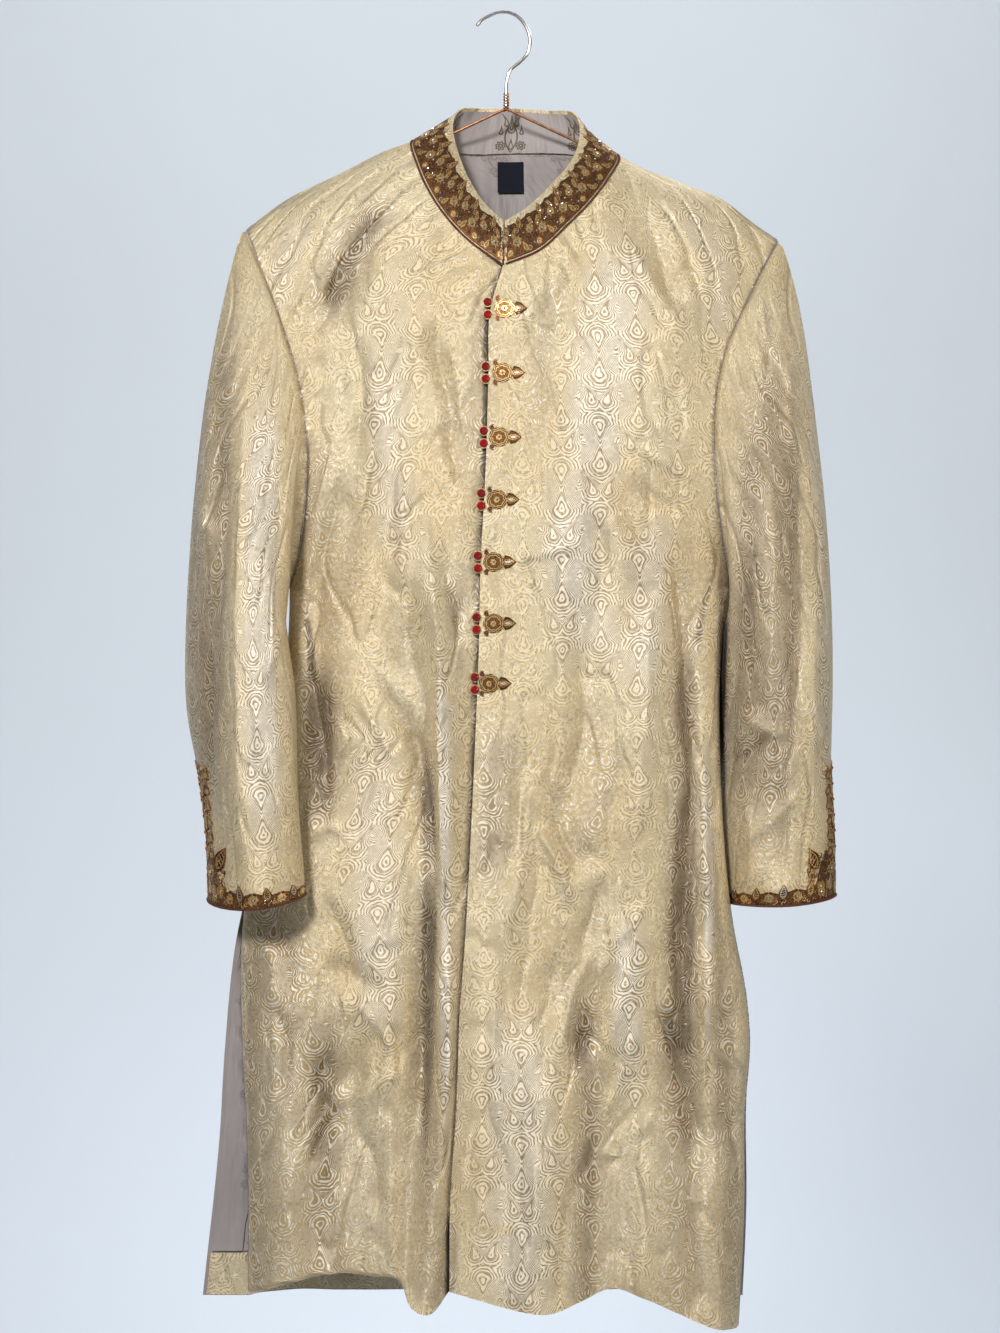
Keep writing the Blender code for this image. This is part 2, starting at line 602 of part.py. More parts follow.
def outward(grid, away, ring=False):
    """Unit normals of a grid's points, on the side that faces away from the given point or points."""
    if ring:
        padded = np.concatenate((grid[:, -1:], grid, grid[:, :1]), axis=1)
        across = (padded[:, 2:] - padded[:, :-2]) / 2
    else:
        across = np.gradient(grid, axis=1)
    down = np.gradient(grid, axis=0)
    normals = np.cross(across, down)
    normals /= np.linalg.norm(normals, axis=2, keepdims=True)
    facing = np.sum(normals * (grid - away))
    return normals if facing > 0 else -normals


def grid_triangles(indices):
    """Two triangles a cell, all cut along the same diagonal."""
    a, b = indices[:-1, :-1].ravel(), indices[1:, :-1].ravel()
    c, d = indices[1:, 1:].ravel(), indices[:-1, 1:].ravel()
    return np.concatenate((np.column_stack((a, b, c)), np.column_stack((a, c, d))))


def strip_triangles(first, second):
    """The triangles between two rows of points."""
    return grid_triangles(np.stack((second, first)))


def enclosed_volume(points, triangles):
    a, b, c = (points[triangles[:, corner]] for corner in range(3))
    return np.sum(a * np.cross(b, c)) / 6


def new_mesh(name, points, triangles):
    mesh = bpy.data.meshes.new(name)
    mesh.from_pydata(points.tolist(), [], triangles.tolist())
    mesh.shade_smooth()
    mesh.set_sharp_from_angle(angle=math.radians(SHARP_DEGREES))
    return mesh


def two_sided(name, outer, inner, finish, ring=False):
    """A closed wall between an outer and an inner grid of points."""
    rows, columns = outer.shape[:2]
    indices = np.arange(rows * columns).reshape(rows, columns)
    if ring:
        indices = np.column_stack((indices, indices[:, 0]))
    under = indices + rows * columns
    triangles = [grid_triangles(indices), grid_triangles(under)[:, ::-1]]
    triangles.append(strip_triangles(indices[0], under[0]))
    triangles.append(strip_triangles(under[-1], indices[-1]))
    if not ring:
        triangles.append(strip_triangles(under[:, 0], indices[:, 0]))
        triangles.append(strip_triangles(indices[:, -1], under[:, -1]))
    triangles = np.concatenate(triangles)
    points = np.concatenate((outer.reshape(-1, 3), inner.reshape(-1, 3)))
    if enclosed_volume(points, triangles) < 0:
        triangles = triangles[:, ::-1]
    return add_object(name, new_mesh(name, points, triangles), finish)


def solid_cloth(name, grid, away, thickness, finish):
    """A wall built inwards from an open grid with Solidify."""
    rows, columns = grid.shape[:2]
    triangles = grid_triangles(np.arange(rows * columns).reshape(rows, columns))
    points = grid.reshape(-1, 3)
    a, b, c = (points[triangles[:, corner]] for corner in range(3))
    away_points = np.broadcast_to(away, grid.shape).reshape(-1, 3)[triangles[:, 0]]
    if np.sum(np.cross(b - a, c - a) * (a - away_points)) < 0:
        triangles = triangles[:, ::-1]
    obj = add_object(name, new_mesh(name, points, triangles), finish)
    solidify = obj.modifiers.new("wall", "SOLIDIFY")
    solidify.thickness = thickness
    solidify.offset = -1
    return obj


def on_facets(grid, row, column):
    """Points on a grid's own triangles, at rows and columns that need not be whole."""
    r0 = np.clip(np.floor(row).astype(int), 0, grid.shape[0] - 2)
    c0 = np.clip(np.floor(column).astype(int), 0, grid.shape[1] - 2)
    f, g = (row - r0)[..., None], (column - c0)[..., None]
    a, b, c, d = grid[r0, c0], grid[r0 + 1, c0], grid[r0 + 1, c0 + 1], grid[r0, c0 + 1]
    lower = a + f * (b - a) + g * (c - b)
    upper = a + g * (d - a) + f * (c - d)
    return np.where(f >= g, lower, upper)


# The pieces

SIDES = ("right", "left")


def build_parted(name, outer, inner, partings):
    """Builds a wall as named pieces that meet along some of its rows."""
    bounds = (0, *(row for _, row in partings))
    for (half, last), first in zip(partings, bounds):
        wall = np.array((outer[first : last + 1], inner[first : last + 1]))
        for end, beside, seamed in ((0, 1, first > 0), (-1, -2, last < len(outer) - 1)):
            if seamed:
                away = (wall[:, beside] - wall[:, end]).mean(axis=0)
                wall[:, end] += away / np.linalg.norm(away, axis=1, keepdims=True) * HALF_SEAM
        two_sided(f"{name}_{half}", *wall, "brocade")


def make_fronts(fronts):
    for side, grid in fronts.items():
        inner = grid - outward(grid, BODY_AXIS) * CLOTH
        inner = behind_seam(inner, -1)
        name = "front_right_underlap" if side == "right" else "front_left_overlap"
        build_parted(name, grid, inner, FRONT_PARTINGS)


def left_to_right(side, grid):
    """A half's grid with its columns running towards +X, so that both halves are cut alike."""
    return grid[:, ::-1] if side == "right" else grid


def both_halves(halves):
    """One grid over the right and the left half, with their centre lines made one."""
    right, left = left_to_right("right", halves["right"]), halves["left"]
    whole = np.concatenate((right[:, :-1], left), axis=1)
    whole[:, right.shape[1] - 1] = (right[:, -1] + left[:, 0]) / 2
    return whole


def make_backs(backs):
    for side, grid in backs.items():
        inner = grid - outward(grid, BODY_AXIS) * CLOTH
        inner[:, 0, 0] = grid[:, 0, 0]
        inner = behind_seam(inner, 1)
        outer, inner = left_to_right(side, grid), left_to_right(side, inner)
        build_parted(f"back_{side}", outer, inner, BACK_PARTINGS)


def make_lining(backs):
    """The back lining from the neck to the hem, the strip of it beside the open slit, and the hem facing."""
    whole = both_halves(backs)
    normals = outward(whole, BODY_AXIS)
    rows, columns = BACK_CELLS[1], 2 * BACK_CELLS[0]
    foot = rows - FACING_DEPTH
    even = np.arange(columns + 1)
    facing_across = np.clip(even, FACING_EDGE, columns - FACING_EDGE)
    top = np.array(LINING_TOPS)[np.abs(even - BACK_CELLS[0])]
    body_rows = np.minimum(np.arange(rows + 1), foot - FACING_GAP)
    slit_rows = body_rows[whole[:, 0, 2] < SLIT_TOP - SEAM_OPENS]
    walls = {}
    for name, down, across, finish in (
        ("back_lining", body_rows, np.clip(even, LINING_EDGE, columns - LINING_EDGE), "lining"),
        ("slit_lining_right", slit_rows, np.array(SLIT_LINING_EDGES), "lining"),
        ("back_hem_facing", np.array((foot, rows)), facing_across, "brocade"),
    ):
        row, column = np.meshgrid(down, across, indexing="ij")
        if name == "back_lining":
            row, column = np.maximum(row, top[None, :])[:, 1:-1], column[:, 1:-1]
        surface = on_facets(whole, row, column)
        normal = on_facets(normals, row, column)
        outer = surface - normal * (CLOTH + LINING_GAP)
        walls[name] = outer - normal * LINING
        two_sided(name, outer, walls[name], finish)
    return walls["back_lining"]


def make_label(lining):
    """A bare woven label on the lining below the neck seam."""
    width, height = LABEL_SIZE
    x, z = LABEL_PLACE
    x = np.linspace(x - width / 2, x + width / 2, LABEL_CELLS[0] + 1)
    z = np.linspace(z + height / 2, z - height / 2, LABEL_CELLS[1] + 1)
    x, z = np.meshgrid(x, z)
    y = height_at(lining, x, z) - LABEL_LIFT
    outer = np.stack((x, y, z), axis=2)
    inner = outer - (0, LABEL_THICK, 0)
    two_sided("neck_label", outer, inner, "label")


def height_at(grid, x, z):
    """y of a grid's facets at each x, z."""
    rows, columns = grid.shape[:2]
    corners = grid.reshape(-1, 3)[grid_triangles(np.arange(rows * columns).reshape(rows, columns))]
    a, b, c = corners[:, 0], corners[:, 1], corners[:, 2]
    found = np.full(x.shape, np.nan)
    area = (b[:, 0] - a[:, 0]) * (c[:, 2] - a[:, 2]) - (c[:, 0] - a[:, 0]) * (b[:, 2] - a[:, 2])
    for place in np.ndindex(x.shape):
        px, pz = x[place], z[place]
        second = ((px - a[:, 0]) * (c[:, 2] - a[:, 2]) - (c[:, 0] - a[:, 0]) * (pz - a[:, 2])) / area
        third = ((b[:, 0] - a[:, 0]) * (pz - a[:, 2]) - (px - a[:, 0]) * (b[:, 2] - a[:, 2])) / area
        inside = np.minimum(np.minimum(second, third), 1 - second - third)
        best = int(np.argmax(inside))
        found[place] = (
            a[best, 1] + second[best] * (b[best, 1] - a[best, 1]) + third[best] * (c[best, 1] - a[best, 1])
        )
    return found


def sleeve_angles():
    """Angles round a sleeve, at the front's and the back's own points along the armhole."""
    front = np.linspace(0, math.pi, ARMHOLE_ROWS["front"] + 1)
    back = np.linspace(math.pi, 2 * math.pi, ARMHOLE_ROWS["back"] + 1)
    return np.concatenate((front, back[1:-1]))


def sleeve_grid(side):
    """The coarse rings of a sleeve, from the armhole to the cuff."""
    table = np.asarray(SLEEVE_RIGHT if side == "right" else SLEEVE_LEFT, float)
    shares = np.linspace(0, 1, SLEEVE_RINGS + 1) ** SLEEVE_SPACING
    guides = [by_row(table[:, guide], shares) for guide in range(4)]
    rings = []
    for index, share in enumerate(shares):
        crease = 1 + (SLEEVE_CREASE - 1) * ease(share / CREASE_SHARE)
        rings.append(ring_points(*[guide[index] for guide in guides], sleeve_angles(), crease))
    rings = np.array(rings)
    front = spline(ARMHOLES[side, "front"], np.linspace(0, 1, ARMHOLE_ROWS["front"] + 1)) * MM
    back = spline(ARMHOLES[side, "back"], np.linspace(1, 0, ARMHOLE_ROWS["back"] + 1)) * MM
    armhole = np.concatenate((front, back[1:-1]))
    fade = 1 - ease(shares / CAP_FADE)
    rings = rings + (armhole - rings[0]) * fade[:, None, None]
    away = rings[1] - rings[0]
    rings[0] += away / np.linalg.norm(away, axis=1, keepdims=True) * SLEEVE_START
    for index, inset in enumerate(SLEEVE_INSETS):
        inwards = rings[index].mean(axis=0) - rings[index]
        rings[index] += inwards / np.linalg.norm(inwards, axis=1, keepdims=True) * inset
    return rings


def parted(wall):
    """A wall's grid with its two side edges drawn back from their seams."""
    wall = wall.copy()
    for edge, beside in ((0, 1), (-1, -2)):
        along = wall[:, beside] - wall[:, edge]
        wall[:, edge] += along / np.linalg.norm(along, axis=1, keepdims=True) * HALF_SEAM
    return wall


def make_sleeves(sleeves):
    """Each sleeve in two pieces, before and behind the seams on its outer and inner edges."""
    for side, grid in sleeves.items():
        middle = grid.mean(axis=1, keepdims=True)
        inner = grid - outward(grid, middle, ring=True) * CLOTH
        turn = ARMHOLE_ROWS["front"]
        halves = {"front": np.arange(turn + 1), "back": np.append(np.arange(turn, grid.shape[1]), 0)}
        for half, columns in halves.items():
            two_sided(f"sleeve_{side}_{half}", parted(grid[:, columns]), parted(inner[:, columns]), "brocade")


def collar_grid(side):
    """The coarse outer surface of one half of the stand collar, from the centre back to the front."""
    back_cells, front_cells, cells_up = COLLAR_CELLS
    top_table = np.asarray(COLLAR_TOP_RIGHT if side == "right" else COLLAR_TOP_LEFT, float) * MM
    lengths = chords(top_table)
    neck, neck_shoulder = neck_line(side)
    ends = {}
    for name, points, shoulder in (
        ("foot", neck, neck_shoulder),
        ("head", top_table, lengths[NECK_SHOULDER] / lengths[-1]),
    ):
        trim = COLLAR_FRONT_TRIM / chords(points)[-1]
        back = np.linspace(0, shoulder, back_cells + 1)
        front = np.linspace(shoulder, 1 - trim, front_cells + 1)
        ends[name] = spline(points, joined([back, front]))
    rise = ends["head"] - ends["foot"]
    height = np.linalg.norm(rise, axis=1)
    shares = np.linspace(0, 1, cells_up + 1)[:, None]
    shares = shares + (1 - shares) * COLLAR_LIFT / height[None, :]
    flat = ends["foot"][None] + rise[None] * shares[..., None]
    bow = outward(flat, NECK_AXIS) * (COLLAR_BULGE * 4 * shares * (1 - shares))[..., None]
    grid = flat + bow
    grid[:, 0, 0] += COLLAR_BACK_TRIM * (-1 if side == "right" else 1)
    return grid


def make_collar(collars):
    for side, grid in collars.items():
        solid_cloth(f"collar_{side}", grid, NECK_AXIS, COLLAR_CLOTH, "brocade")


def make_collar_lining(collars):
    """The satin inside the back of the collar, in one piece round the neck."""
    whole = both_halves(collars)
    normals = outward(whole, NECK_AXIS)
    centre = COLLAR_CELLS[0] + COLLAR_CELLS[1]
    down = np.clip(np.arange(COLLAR_CELLS[2] + 1), *COLLAR_LINING_ROWS)
    across = np.arange(2 * centre + 1)
    across = np.unique(np.clip(across, centre - COLLAR_LINING_CELLS, centre + COLLAR_LINING_CELLS))
    row, column = np.meshgrid(down, across, indexing="ij")
    normal = on_facets(normals, row, column)
    outer = on_facets(whole, row, column) - normal * (COLLAR_CLOTH + COLLAR_LINING_GAP)
    two_sided("collar_lining", outer, outer - normal * LINING, "lining")


def relief(rows, columns):
    """A chequer of raised and low points inside a band's plain edge."""
    row, column = np.indices((rows, columns))
    raised = ((row + column) % 2 == 0) & (row > 0) & (row < rows - 1)
    return raised[..., None] * BEAD_RELIEF


def bead_layer(name, carrier, normals, row, column, ring=False):
    """A raised layer of beadwork over the facets of the cloth that carries it."""
    surface, normal = on_facets(carrier, row, column), on_facets(normals, row, column)
    normal = normal / np.linalg.norm(normal, axis=2, keepdims=True)
    inner = surface + normal * BEAD_LIFT
    outer = inner + normal * (BEAD_THICK + relief(*row.shape))
    two_sided(name, outer, inner, "beadwork", ring)


def make_collar_bands(collars):
    """The beadwork on each half of the collar, its upper edge in leaf points."""
    foot, head, leaf = COLLAR_BAND
    cells = COLLAR_CELLS[0] + COLLAR_CELLS[1]
    steps_across = np.arange(COLLAR_BAND_STEPS * cells + 1)
    start, end = COLLAR_BAND_ENDS
    for side, grid in collars.items():
        column = np.clip(steps_across / COLLAR_BAND_STEPS, start, cells - end)
        points = np.where(steps_across % COLLAR_BAND_STEPS == 1, leaf, 0)
        row = np.stack([np.full(len(column), level) for level in (foot, *COLLAR_BAND_LEVELS)] + [head + points])
        column = np.broadcast_to(column, row.shape)
        bead_layer(f"collar_beadwork_{side}", grid, outward(grid, NECK_AXIS), row, column)


def make_cuff_bands(sleeves):
    """The beadwork round each cuff, scalloped above, and the strip that climbs the sleeve's outer edge."""
    down = SLEEVE_RINGS
    for side, grid in sleeves.items():
        around = grid.shape[1]
        middle = grid.mean(axis=1, keepdims=True)
        normals = outward(grid, middle, ring=True)
        closed = np.concatenate((grid, grid[:, :1]), axis=1)
        closed_normals = np.concatenate((normals, normals[:, :1]), axis=1)
        row_length = np.linalg.norm(grid[-1] - grid[-2], axis=1).mean()
        foot, head, scallop = (length / row_length for length in CUFF_BAND)
        turn = np.arange(CUFF_BAND_STEPS * around) / (CUFF_BAND_STEPS * around)
        edge = head + scallop * np.abs(np.sin(turn * CUFF_SCALLOPS * math.pi))
        shares = np.linspace(0, 1, CUFF_BAND_ROWS + 1)[:, None]
        row = down - (foot + shares * (edge[None, :] - foot))
        column = np.broadcast_to(turn * around, row.shape)
        bead_layer(f"cuff_beadwork_{side}", closed, closed_normals, row, column, ring=True)
        make_cuff_strip(side, grid, normals)


def make_cuff_strip(side, grid, normals):
    down, around = grid.shape[0] - 1, grid.shape[1]
    rolled = np.roll(grid, around // 2, axis=1)
    rolled_normals = np.roll(normals, around // 2, axis=1)
    middle = around // 2
    foot, head, width = CUFF_STRIP
    cells_across, cells_up = CUFF_STRIP_CELLS
    cell_width = np.linalg.norm(rolled[-1, middle + 1] - rolled[-1, middle])
    along = np.linspace(foot, head, cells_up + 1)
    row = np.interp(along, strip_lengths(rolled, middle), np.arange(down, -1, -1))
    ripple = 1 - STRIP_RIPPLE * (np.arange(cells_up + 1) % 2) - STRIP_TAPER * (along - foot) / (head - foot)
    offsets = np.linspace(-0.5, 0.5, cells_across + 1)
    column = middle + offsets[None, :] * (width / cell_width) * ripple[:, None]
    row = np.broadcast_to(row[:, None], column.shape)
    bead_layer(f"cuff_strip_{side}", rolled, rolled_normals, row, column)


def strip_lengths(rolled, middle):
    """Length up the sleeve's outer edge from the cuff to each ring."""
    return chords(rolled[::-1, middle])


def teardrop(angles):
    """A rounded outline with one point, towards +X; its length is 1 and its height 1."""
    half_width = 0.5 * np.sin(angles) * np.sin(angles / 2) ** TEARDROP_POINT / TEARDROP_PEAK
    return np.column_stack((0.5 * np.cos(angles), half_width))


def make_motifs(overlap):
    """The seven teardrop motifs, each a low dome that follows the facets below it."""
    length, height = MOTIF_SIZE
    angles = np.linspace(0, 2 * math.pi, MOTIF_SIDES, endpoint=False)
    outline = teardrop(angles) * (length, height)
    for number, centre in enumerate(MOTIFS, 1):
        centre = np.asarray(centre) * MM
        rings = []
        for scale, height_share in MOTIF_RINGS:
            xz = centre + outline * scale
            y = height_at(overlap, xz[:, 0], xz[:, 1]) - MOTIF_LIFT - height_share * MOTIF_THICK
            rings.append(np.column_stack((xz[:, 0], y, xz[:, 1])))
        floor = np.broadcast_to(rings[3].mean(axis=0), rings[3].shape)
        add_object(f"motif_{number}", closed_rings([*rings, floor], f"motif_{number}"), "beadwork")


def closed_rings(rings, name):
    """A closed body through rings of points whose first and last are single points."""
    sides = len(rings[0])
    points = np.concatenate((rings[0][:1], *rings[1:-1], rings[-1][:1]))
    indices = 1 + np.arange((len(rings) - 2) * sides).reshape(-1, sides)
    around = np.column_stack((indices, indices[:, 0]))
    last = len(points) - 1
    first_fan = [(0, a, b) for a, b in zip(around[0, :-1], around[0, 1:])]
    last_fan = [(last, b, a) for a, b in zip(around[-1, :-1], around[-1, 1:])]
    triangles = np.concatenate((grid_triangles(around), first_fan, last_fan))
    if enclosed_volume(points, triangles) < 0:
        triangles = triangles[:, ::-1]
    return new_mesh(name, points, triangles)


def make_buttons(underlap):
    """The stone buttons, turned two-lobed bodies flattened against the underlap."""
    profile = [(radius * MM, 0, height * MM) for radius, height in BUTTON_PROFILE]
    mesh = bpy.data.meshes.new("button_profile")
    mesh.from_pydata(profile, [(i, i + 1) for i in range(len(profile) - 1)], [])
    radius = max(point[0] for point in profile)
    half_height = profile[0][2]
    for number, (_, height) in enumerate(MOTIFS, 1):
        z = height * MM
        x = float(placket_x(z)) - BUTTON_OFF
        obj = add_object(f"button_{number}", mesh.copy(), "red_stone")
        spread_x = x + BUTTON_SEAT * radius * np.array((-1, 0, 1, -1, 0, 1, -1, 0, 1))
        spread_z = z + BUTTON_SEAT * half_height * np.array((-1, -1, -1, 0, 0, 0, 1, 1, 1))
        front = height_at(underlap, spread_x, spread_z).min()
        obj.location = (x, front - radius * BUTTON_FLAT - SEAM, z)
        obj.scale = (1, BUTTON_FLAT, 1)
        screw = obj.modifiers.new("turn", "SCREW")
        screw.steps = BUTTON_STEPS
        screw.render_steps = BUTTON_STEPS
        screw.use_merge_vertices = True
        screw.merge_threshold = 0.00001


def wire(name, points, radius, finish, cyclic=False):
    """A round wire or cord through the points."""
    curve = bpy.data.curves.new(name, "CURVE")
    curve.dimensions = "3D"
    curve.bevel_depth = radius
    curve.bevel_resolution = 2
    curve.use_fill_caps = not cyclic
    line = curve.splines.new("POLY")
    line.points.add(len(points) - 1)
    for point, place in zip(line.points, points):
        point.co = (*place, 1)
    line.use_cyclic_u = cyclic
    return add_object(name, curve, finish)


def make_cords(collars, sleeves):
    """The copper cord along the foot of the collar and round each cuff."""
    for side, grid in collars.items():
        normals = outward(grid, NECK_AXIS)
        points = grid[0] + normals[0] * (CORD_RADIUS + CORD_LIFT)
        smooth = spline(points[1:], np.linspace(0.0, CORD_END, CORD_POINTS))
        wire(f"collar_cord_{side}", smooth, CORD_RADIUS, "copper_cord")
    for side, grid in sleeves.items():
        middle = grid.mean(axis=1, keepdims=True)
        normals = outward(grid, middle, ring=True)
        ring = grid[-1] + normals[-1] * (CORD_RADIUS + CORD_LIFT)
        up = (grid[-2] - grid[-1]) / np.linalg.norm(grid[-2] - grid[-1], axis=1, keepdims=True)
        wire(f"cuff_cord_{side}", ring + up * CORD_RADIUS, CORD_RADIUS, "copper_cord", cyclic=True)


def rounded(corners, radii):
    """A closed outline with each corner an arc."""
    corners = np.asarray(corners, float)
    points = []
    for index, (corner, radius) in enumerate(zip(corners, radii)):
        before = corners[index - 1] - corner
        after = corners[(index + 1) % len(corners)] - corner
        start = corner + before / np.linalg.norm(before) * radius
        end = corner + after / np.linalg.norm(after) * radius
        for t in np.linspace(0, 1, WIRE_ARC_POINTS):
            points.append((1 - t) ** 2 * start + 2 * t * (1 - t) * corner + t**2 * end)
    return np.array(points)


def make_hanger():
    """The chrome hook and the closed copper wire under the shoulders."""
    hook = spline(np.asarray(HOOK_PATH, float) * MM, np.linspace(0, 1, HOOK_POINTS))
    wire("hanger_hook", [(x, 0, z) for x, z in hook], HOOK_RADIUS, "chrome")
    frame = rounded(WIRE_CORNERS, WIRE_CORNER_RADII) * MM
    wire("hanger_wire", [(x, 0, z) for x, z in frame], WIRE_RADIUS, "copper", cyclic=True)


clear_scene()
COAT = new_collection("sherwani")
fronts = {side: front_panel(side) for side in SIDES}
backs = {side: back_panel(side) for side in SIDES}
sleeves = {side: sleeve_grid(side) for side in SIDES}
collars = {side: collar_grid(side) for side in SIDES}
make_fronts(fronts)
make_backs(backs)
make_label(make_lining(backs))
make_sleeves(sleeves)
make_collar(collars)
make_collar_lining(collars)
make_collar_bands(collars)
make_cuff_bands(sleeves)
make_motifs(fronts["left"])
make_buttons(fronts["right"])
make_cords(collars, sleeves)
make_hanger()
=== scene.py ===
"""The looks of a sherwani that hangs on a thin wire hanger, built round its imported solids.

Metres, +Z up.  The origin is the inside top of the hanger's hook, the front faces -Y, and +X is the
wearer's left.  Cloth is a thin shell on its solid's form with its creases; the embroidery, stones and
cords are meshes laid on the cloth.
"""
import math

import bpy
import numpy as np
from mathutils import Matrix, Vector
from mathutils.bvhtree import BVHTree


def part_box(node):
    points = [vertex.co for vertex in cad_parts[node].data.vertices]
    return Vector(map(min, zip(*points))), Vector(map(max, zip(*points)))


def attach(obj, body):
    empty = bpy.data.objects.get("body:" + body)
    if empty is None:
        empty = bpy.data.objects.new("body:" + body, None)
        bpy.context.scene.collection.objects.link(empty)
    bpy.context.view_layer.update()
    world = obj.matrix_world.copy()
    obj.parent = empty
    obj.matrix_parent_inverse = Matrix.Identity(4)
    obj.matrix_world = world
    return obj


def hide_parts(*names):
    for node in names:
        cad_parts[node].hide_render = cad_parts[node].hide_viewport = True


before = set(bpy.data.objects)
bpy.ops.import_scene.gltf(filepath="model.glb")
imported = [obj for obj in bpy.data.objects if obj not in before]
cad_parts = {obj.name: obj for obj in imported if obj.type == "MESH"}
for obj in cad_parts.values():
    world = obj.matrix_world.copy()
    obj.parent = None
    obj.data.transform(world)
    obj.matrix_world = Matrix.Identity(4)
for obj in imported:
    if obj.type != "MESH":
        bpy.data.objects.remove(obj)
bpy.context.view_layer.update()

MM = 0.001
TURN = 2 * math.pi
FORWARDS = (0.0, -1.0, 0.0)
SIDES = ("right", "left")  # the wearer's
SIGN = {"right": -1, "left": 1}
TOWARDS = {"front": -1, "back": 1}

# Walls and clearances (m)
HALF_SEAM = 0.2 * MM  # from the middle of a seam to each piece
LAP_SHIFT = 4.2 * MM  # how far the underlap lies behind the overlap
LAP_FADE = 24 * MM  # over which it comes level again, outside the placket edge
LAP_WIDTH = 38 * MM  # how far the underlap reaches past the placket edge

# How many cells each piece has across and down
FRONT_CELLS = (14, 35)
BACK_CELLS = (8, 20)
SLEEVE_RINGS = 24
COLLAR_CELLS = (5, 8, 3)  # behind the shoulder seam, before it, and up
FINE = (8, 8)  # steps that each cell is cut into across and down
ARMHOLE_ROWS = {"front": 12, "back": 7}  # rows of cells beside the armhole
FRONT_TOP_CELLS = {"right": (2, 6, 6), "left": (0, 8, 6)}  # lap, neck, shoulder
BACK_TOP_CELLS = (3, 5)  # neck, shoulder

# Shoulder line: x, z of its ridge from one sleeve cap to the other (mm)
SHOULDER_X = (-238, -201, -152, -108, -85, 0, 105, 126, 163, 202, 231, 253)
SHOULDER_Z = (-199, -172, -148, -126, -118, -73, -130, -142, -156, -172, -194, -209)
NECK_RIDGE = (4, 6)  # the points of it at the right and the left side of the neck

# Half widths of the body at each height, for the wearer's right (-X) and left (+X) side (mm)
WIDTH = {
    "right": (  # height, half width
        (-200, 262), (-300, 232), (-399, 210), (-533, 198), (-627, 204), (-744, 224), (-828, 240),
        (-962, 241), (-1031, 237), (-1187, 235),
    ),
    "left": (
        (-200, 277), (-300, 245), (-399, 222), (-533, 210), (-585, 202), (-691, 200), (-771, 204),
        (-838, 211), (-916, 224), (-949, 226), (-1005, 222), (-1103, 221), (-1219, 215),
    ),
}

# How far the front stands forward, and the back behind, the hanger's plane (mm)
DEPTH = {
    "front": ((-118, 60), (-240, 63), (-400, 68), (-600, 64), (-850, 60), (-1190, 62)),
    "back": ((-118, 36), (-240, 40), (-400, 42), (-700, 38), (-1190, 40)),
}
EDGE_Y = {"front": ((-120, 0), (-300, -2), (-533, -4), (-820, -4), (-1190, -16)),
          "back": ((-120, 0), (-300, -2), (-533, -4), (-820, -4), (-1190, 20))}
ROUND = {"front": 2.6, "back": 3.0}  # superellipse power of each half's cross-section
SHOULDER = {"front": (200 * MM, 1.6), "back": (150 * MM, 2.2)}  # drop over which it rounds, and its power

# Placket edge of the overlap, from the collar to the hem: x, z (mm)
PLACKET = (
    (-1, -243), (-12, -281), (-14, -341), (-17, -436), (-21, -510), (-23, -598), (-26, -671), (-32, -796),
    (-35, -850), (-39, -913), (-42, -997), (-48, -1087), (-49, -1162),
)

# Neck seam, from the centre back over each shoulder to the centre front: x, z (mm)
NECK = {
    "right": (
        (6, -123), (-32, -124), (-62, -121), (-84, -118), (-79, -147), (-59, -188), (-34, -218), (-1, -243),
    ),
    "left": (
        (6, -123), (43, -124), (80, -127), (105, -131), (95, -158), (79, -181), (56, -206), (33, -228),
        (-1, -243),
    ),
}
NECK_SHOULDER = 3  # row of the neck seam where the shoulder seam meets it

# Top edge of the collar over the same route: x, y, z (mm)
COLLAR_TOP = {
    "right": (
        (8, 33, -80), (-20, 28, -81), (-41, 13, -85), (-47, 0, -101), (-42, -15, -131), (-32, -27, -158),
        (-16, -38, -184), (0, -44, -200),
    ),
    "left": (
        (8, 33, -80), (40, 28, -83), (66, 13, -89), (70, 0, -112), (62, -15, -138), (43, -27, -163),
        (18, -38, -188), (0, -44, -200),
    ),
}
COLLAR_BULGE = 2.5 * MM  # how far the band bows outwards at mid height
COLLAR_LIFT = 0.3 * MM  # the band's lower edge above the neck seam

# Hem: x, z of the front's lower edge (mm)
HEM = {
    "right": (
        (-49, -1166), (-67, -1184), (-82, -1181), (-97, -1156), (-119, -1155), (-150, -1152), (-190, -1159),
        (-235, -1176),
    ),
    "left": (
        (-49, -1166), (-19, -1175), (10, -1182), (40, -1184), (70, -1175), (100, -1166), (127, -1174),
        (155, -1187), (190, -1202), (214, -1208),
    ),
}
BACK_HEM_Z = -1190 * MM
BACK_CENTRE_X = -8 * MM  # the centre back seam at the hem
BACK_FLARE = {"right": 46 * MM, "left": 6 * MM}  # how far its slit edge swings out past the front's there
SLIT_TOP = -815 * MM
SEAM_OPENS = 45 * MM  # below the slit's top the edges are this far down before they stand clear

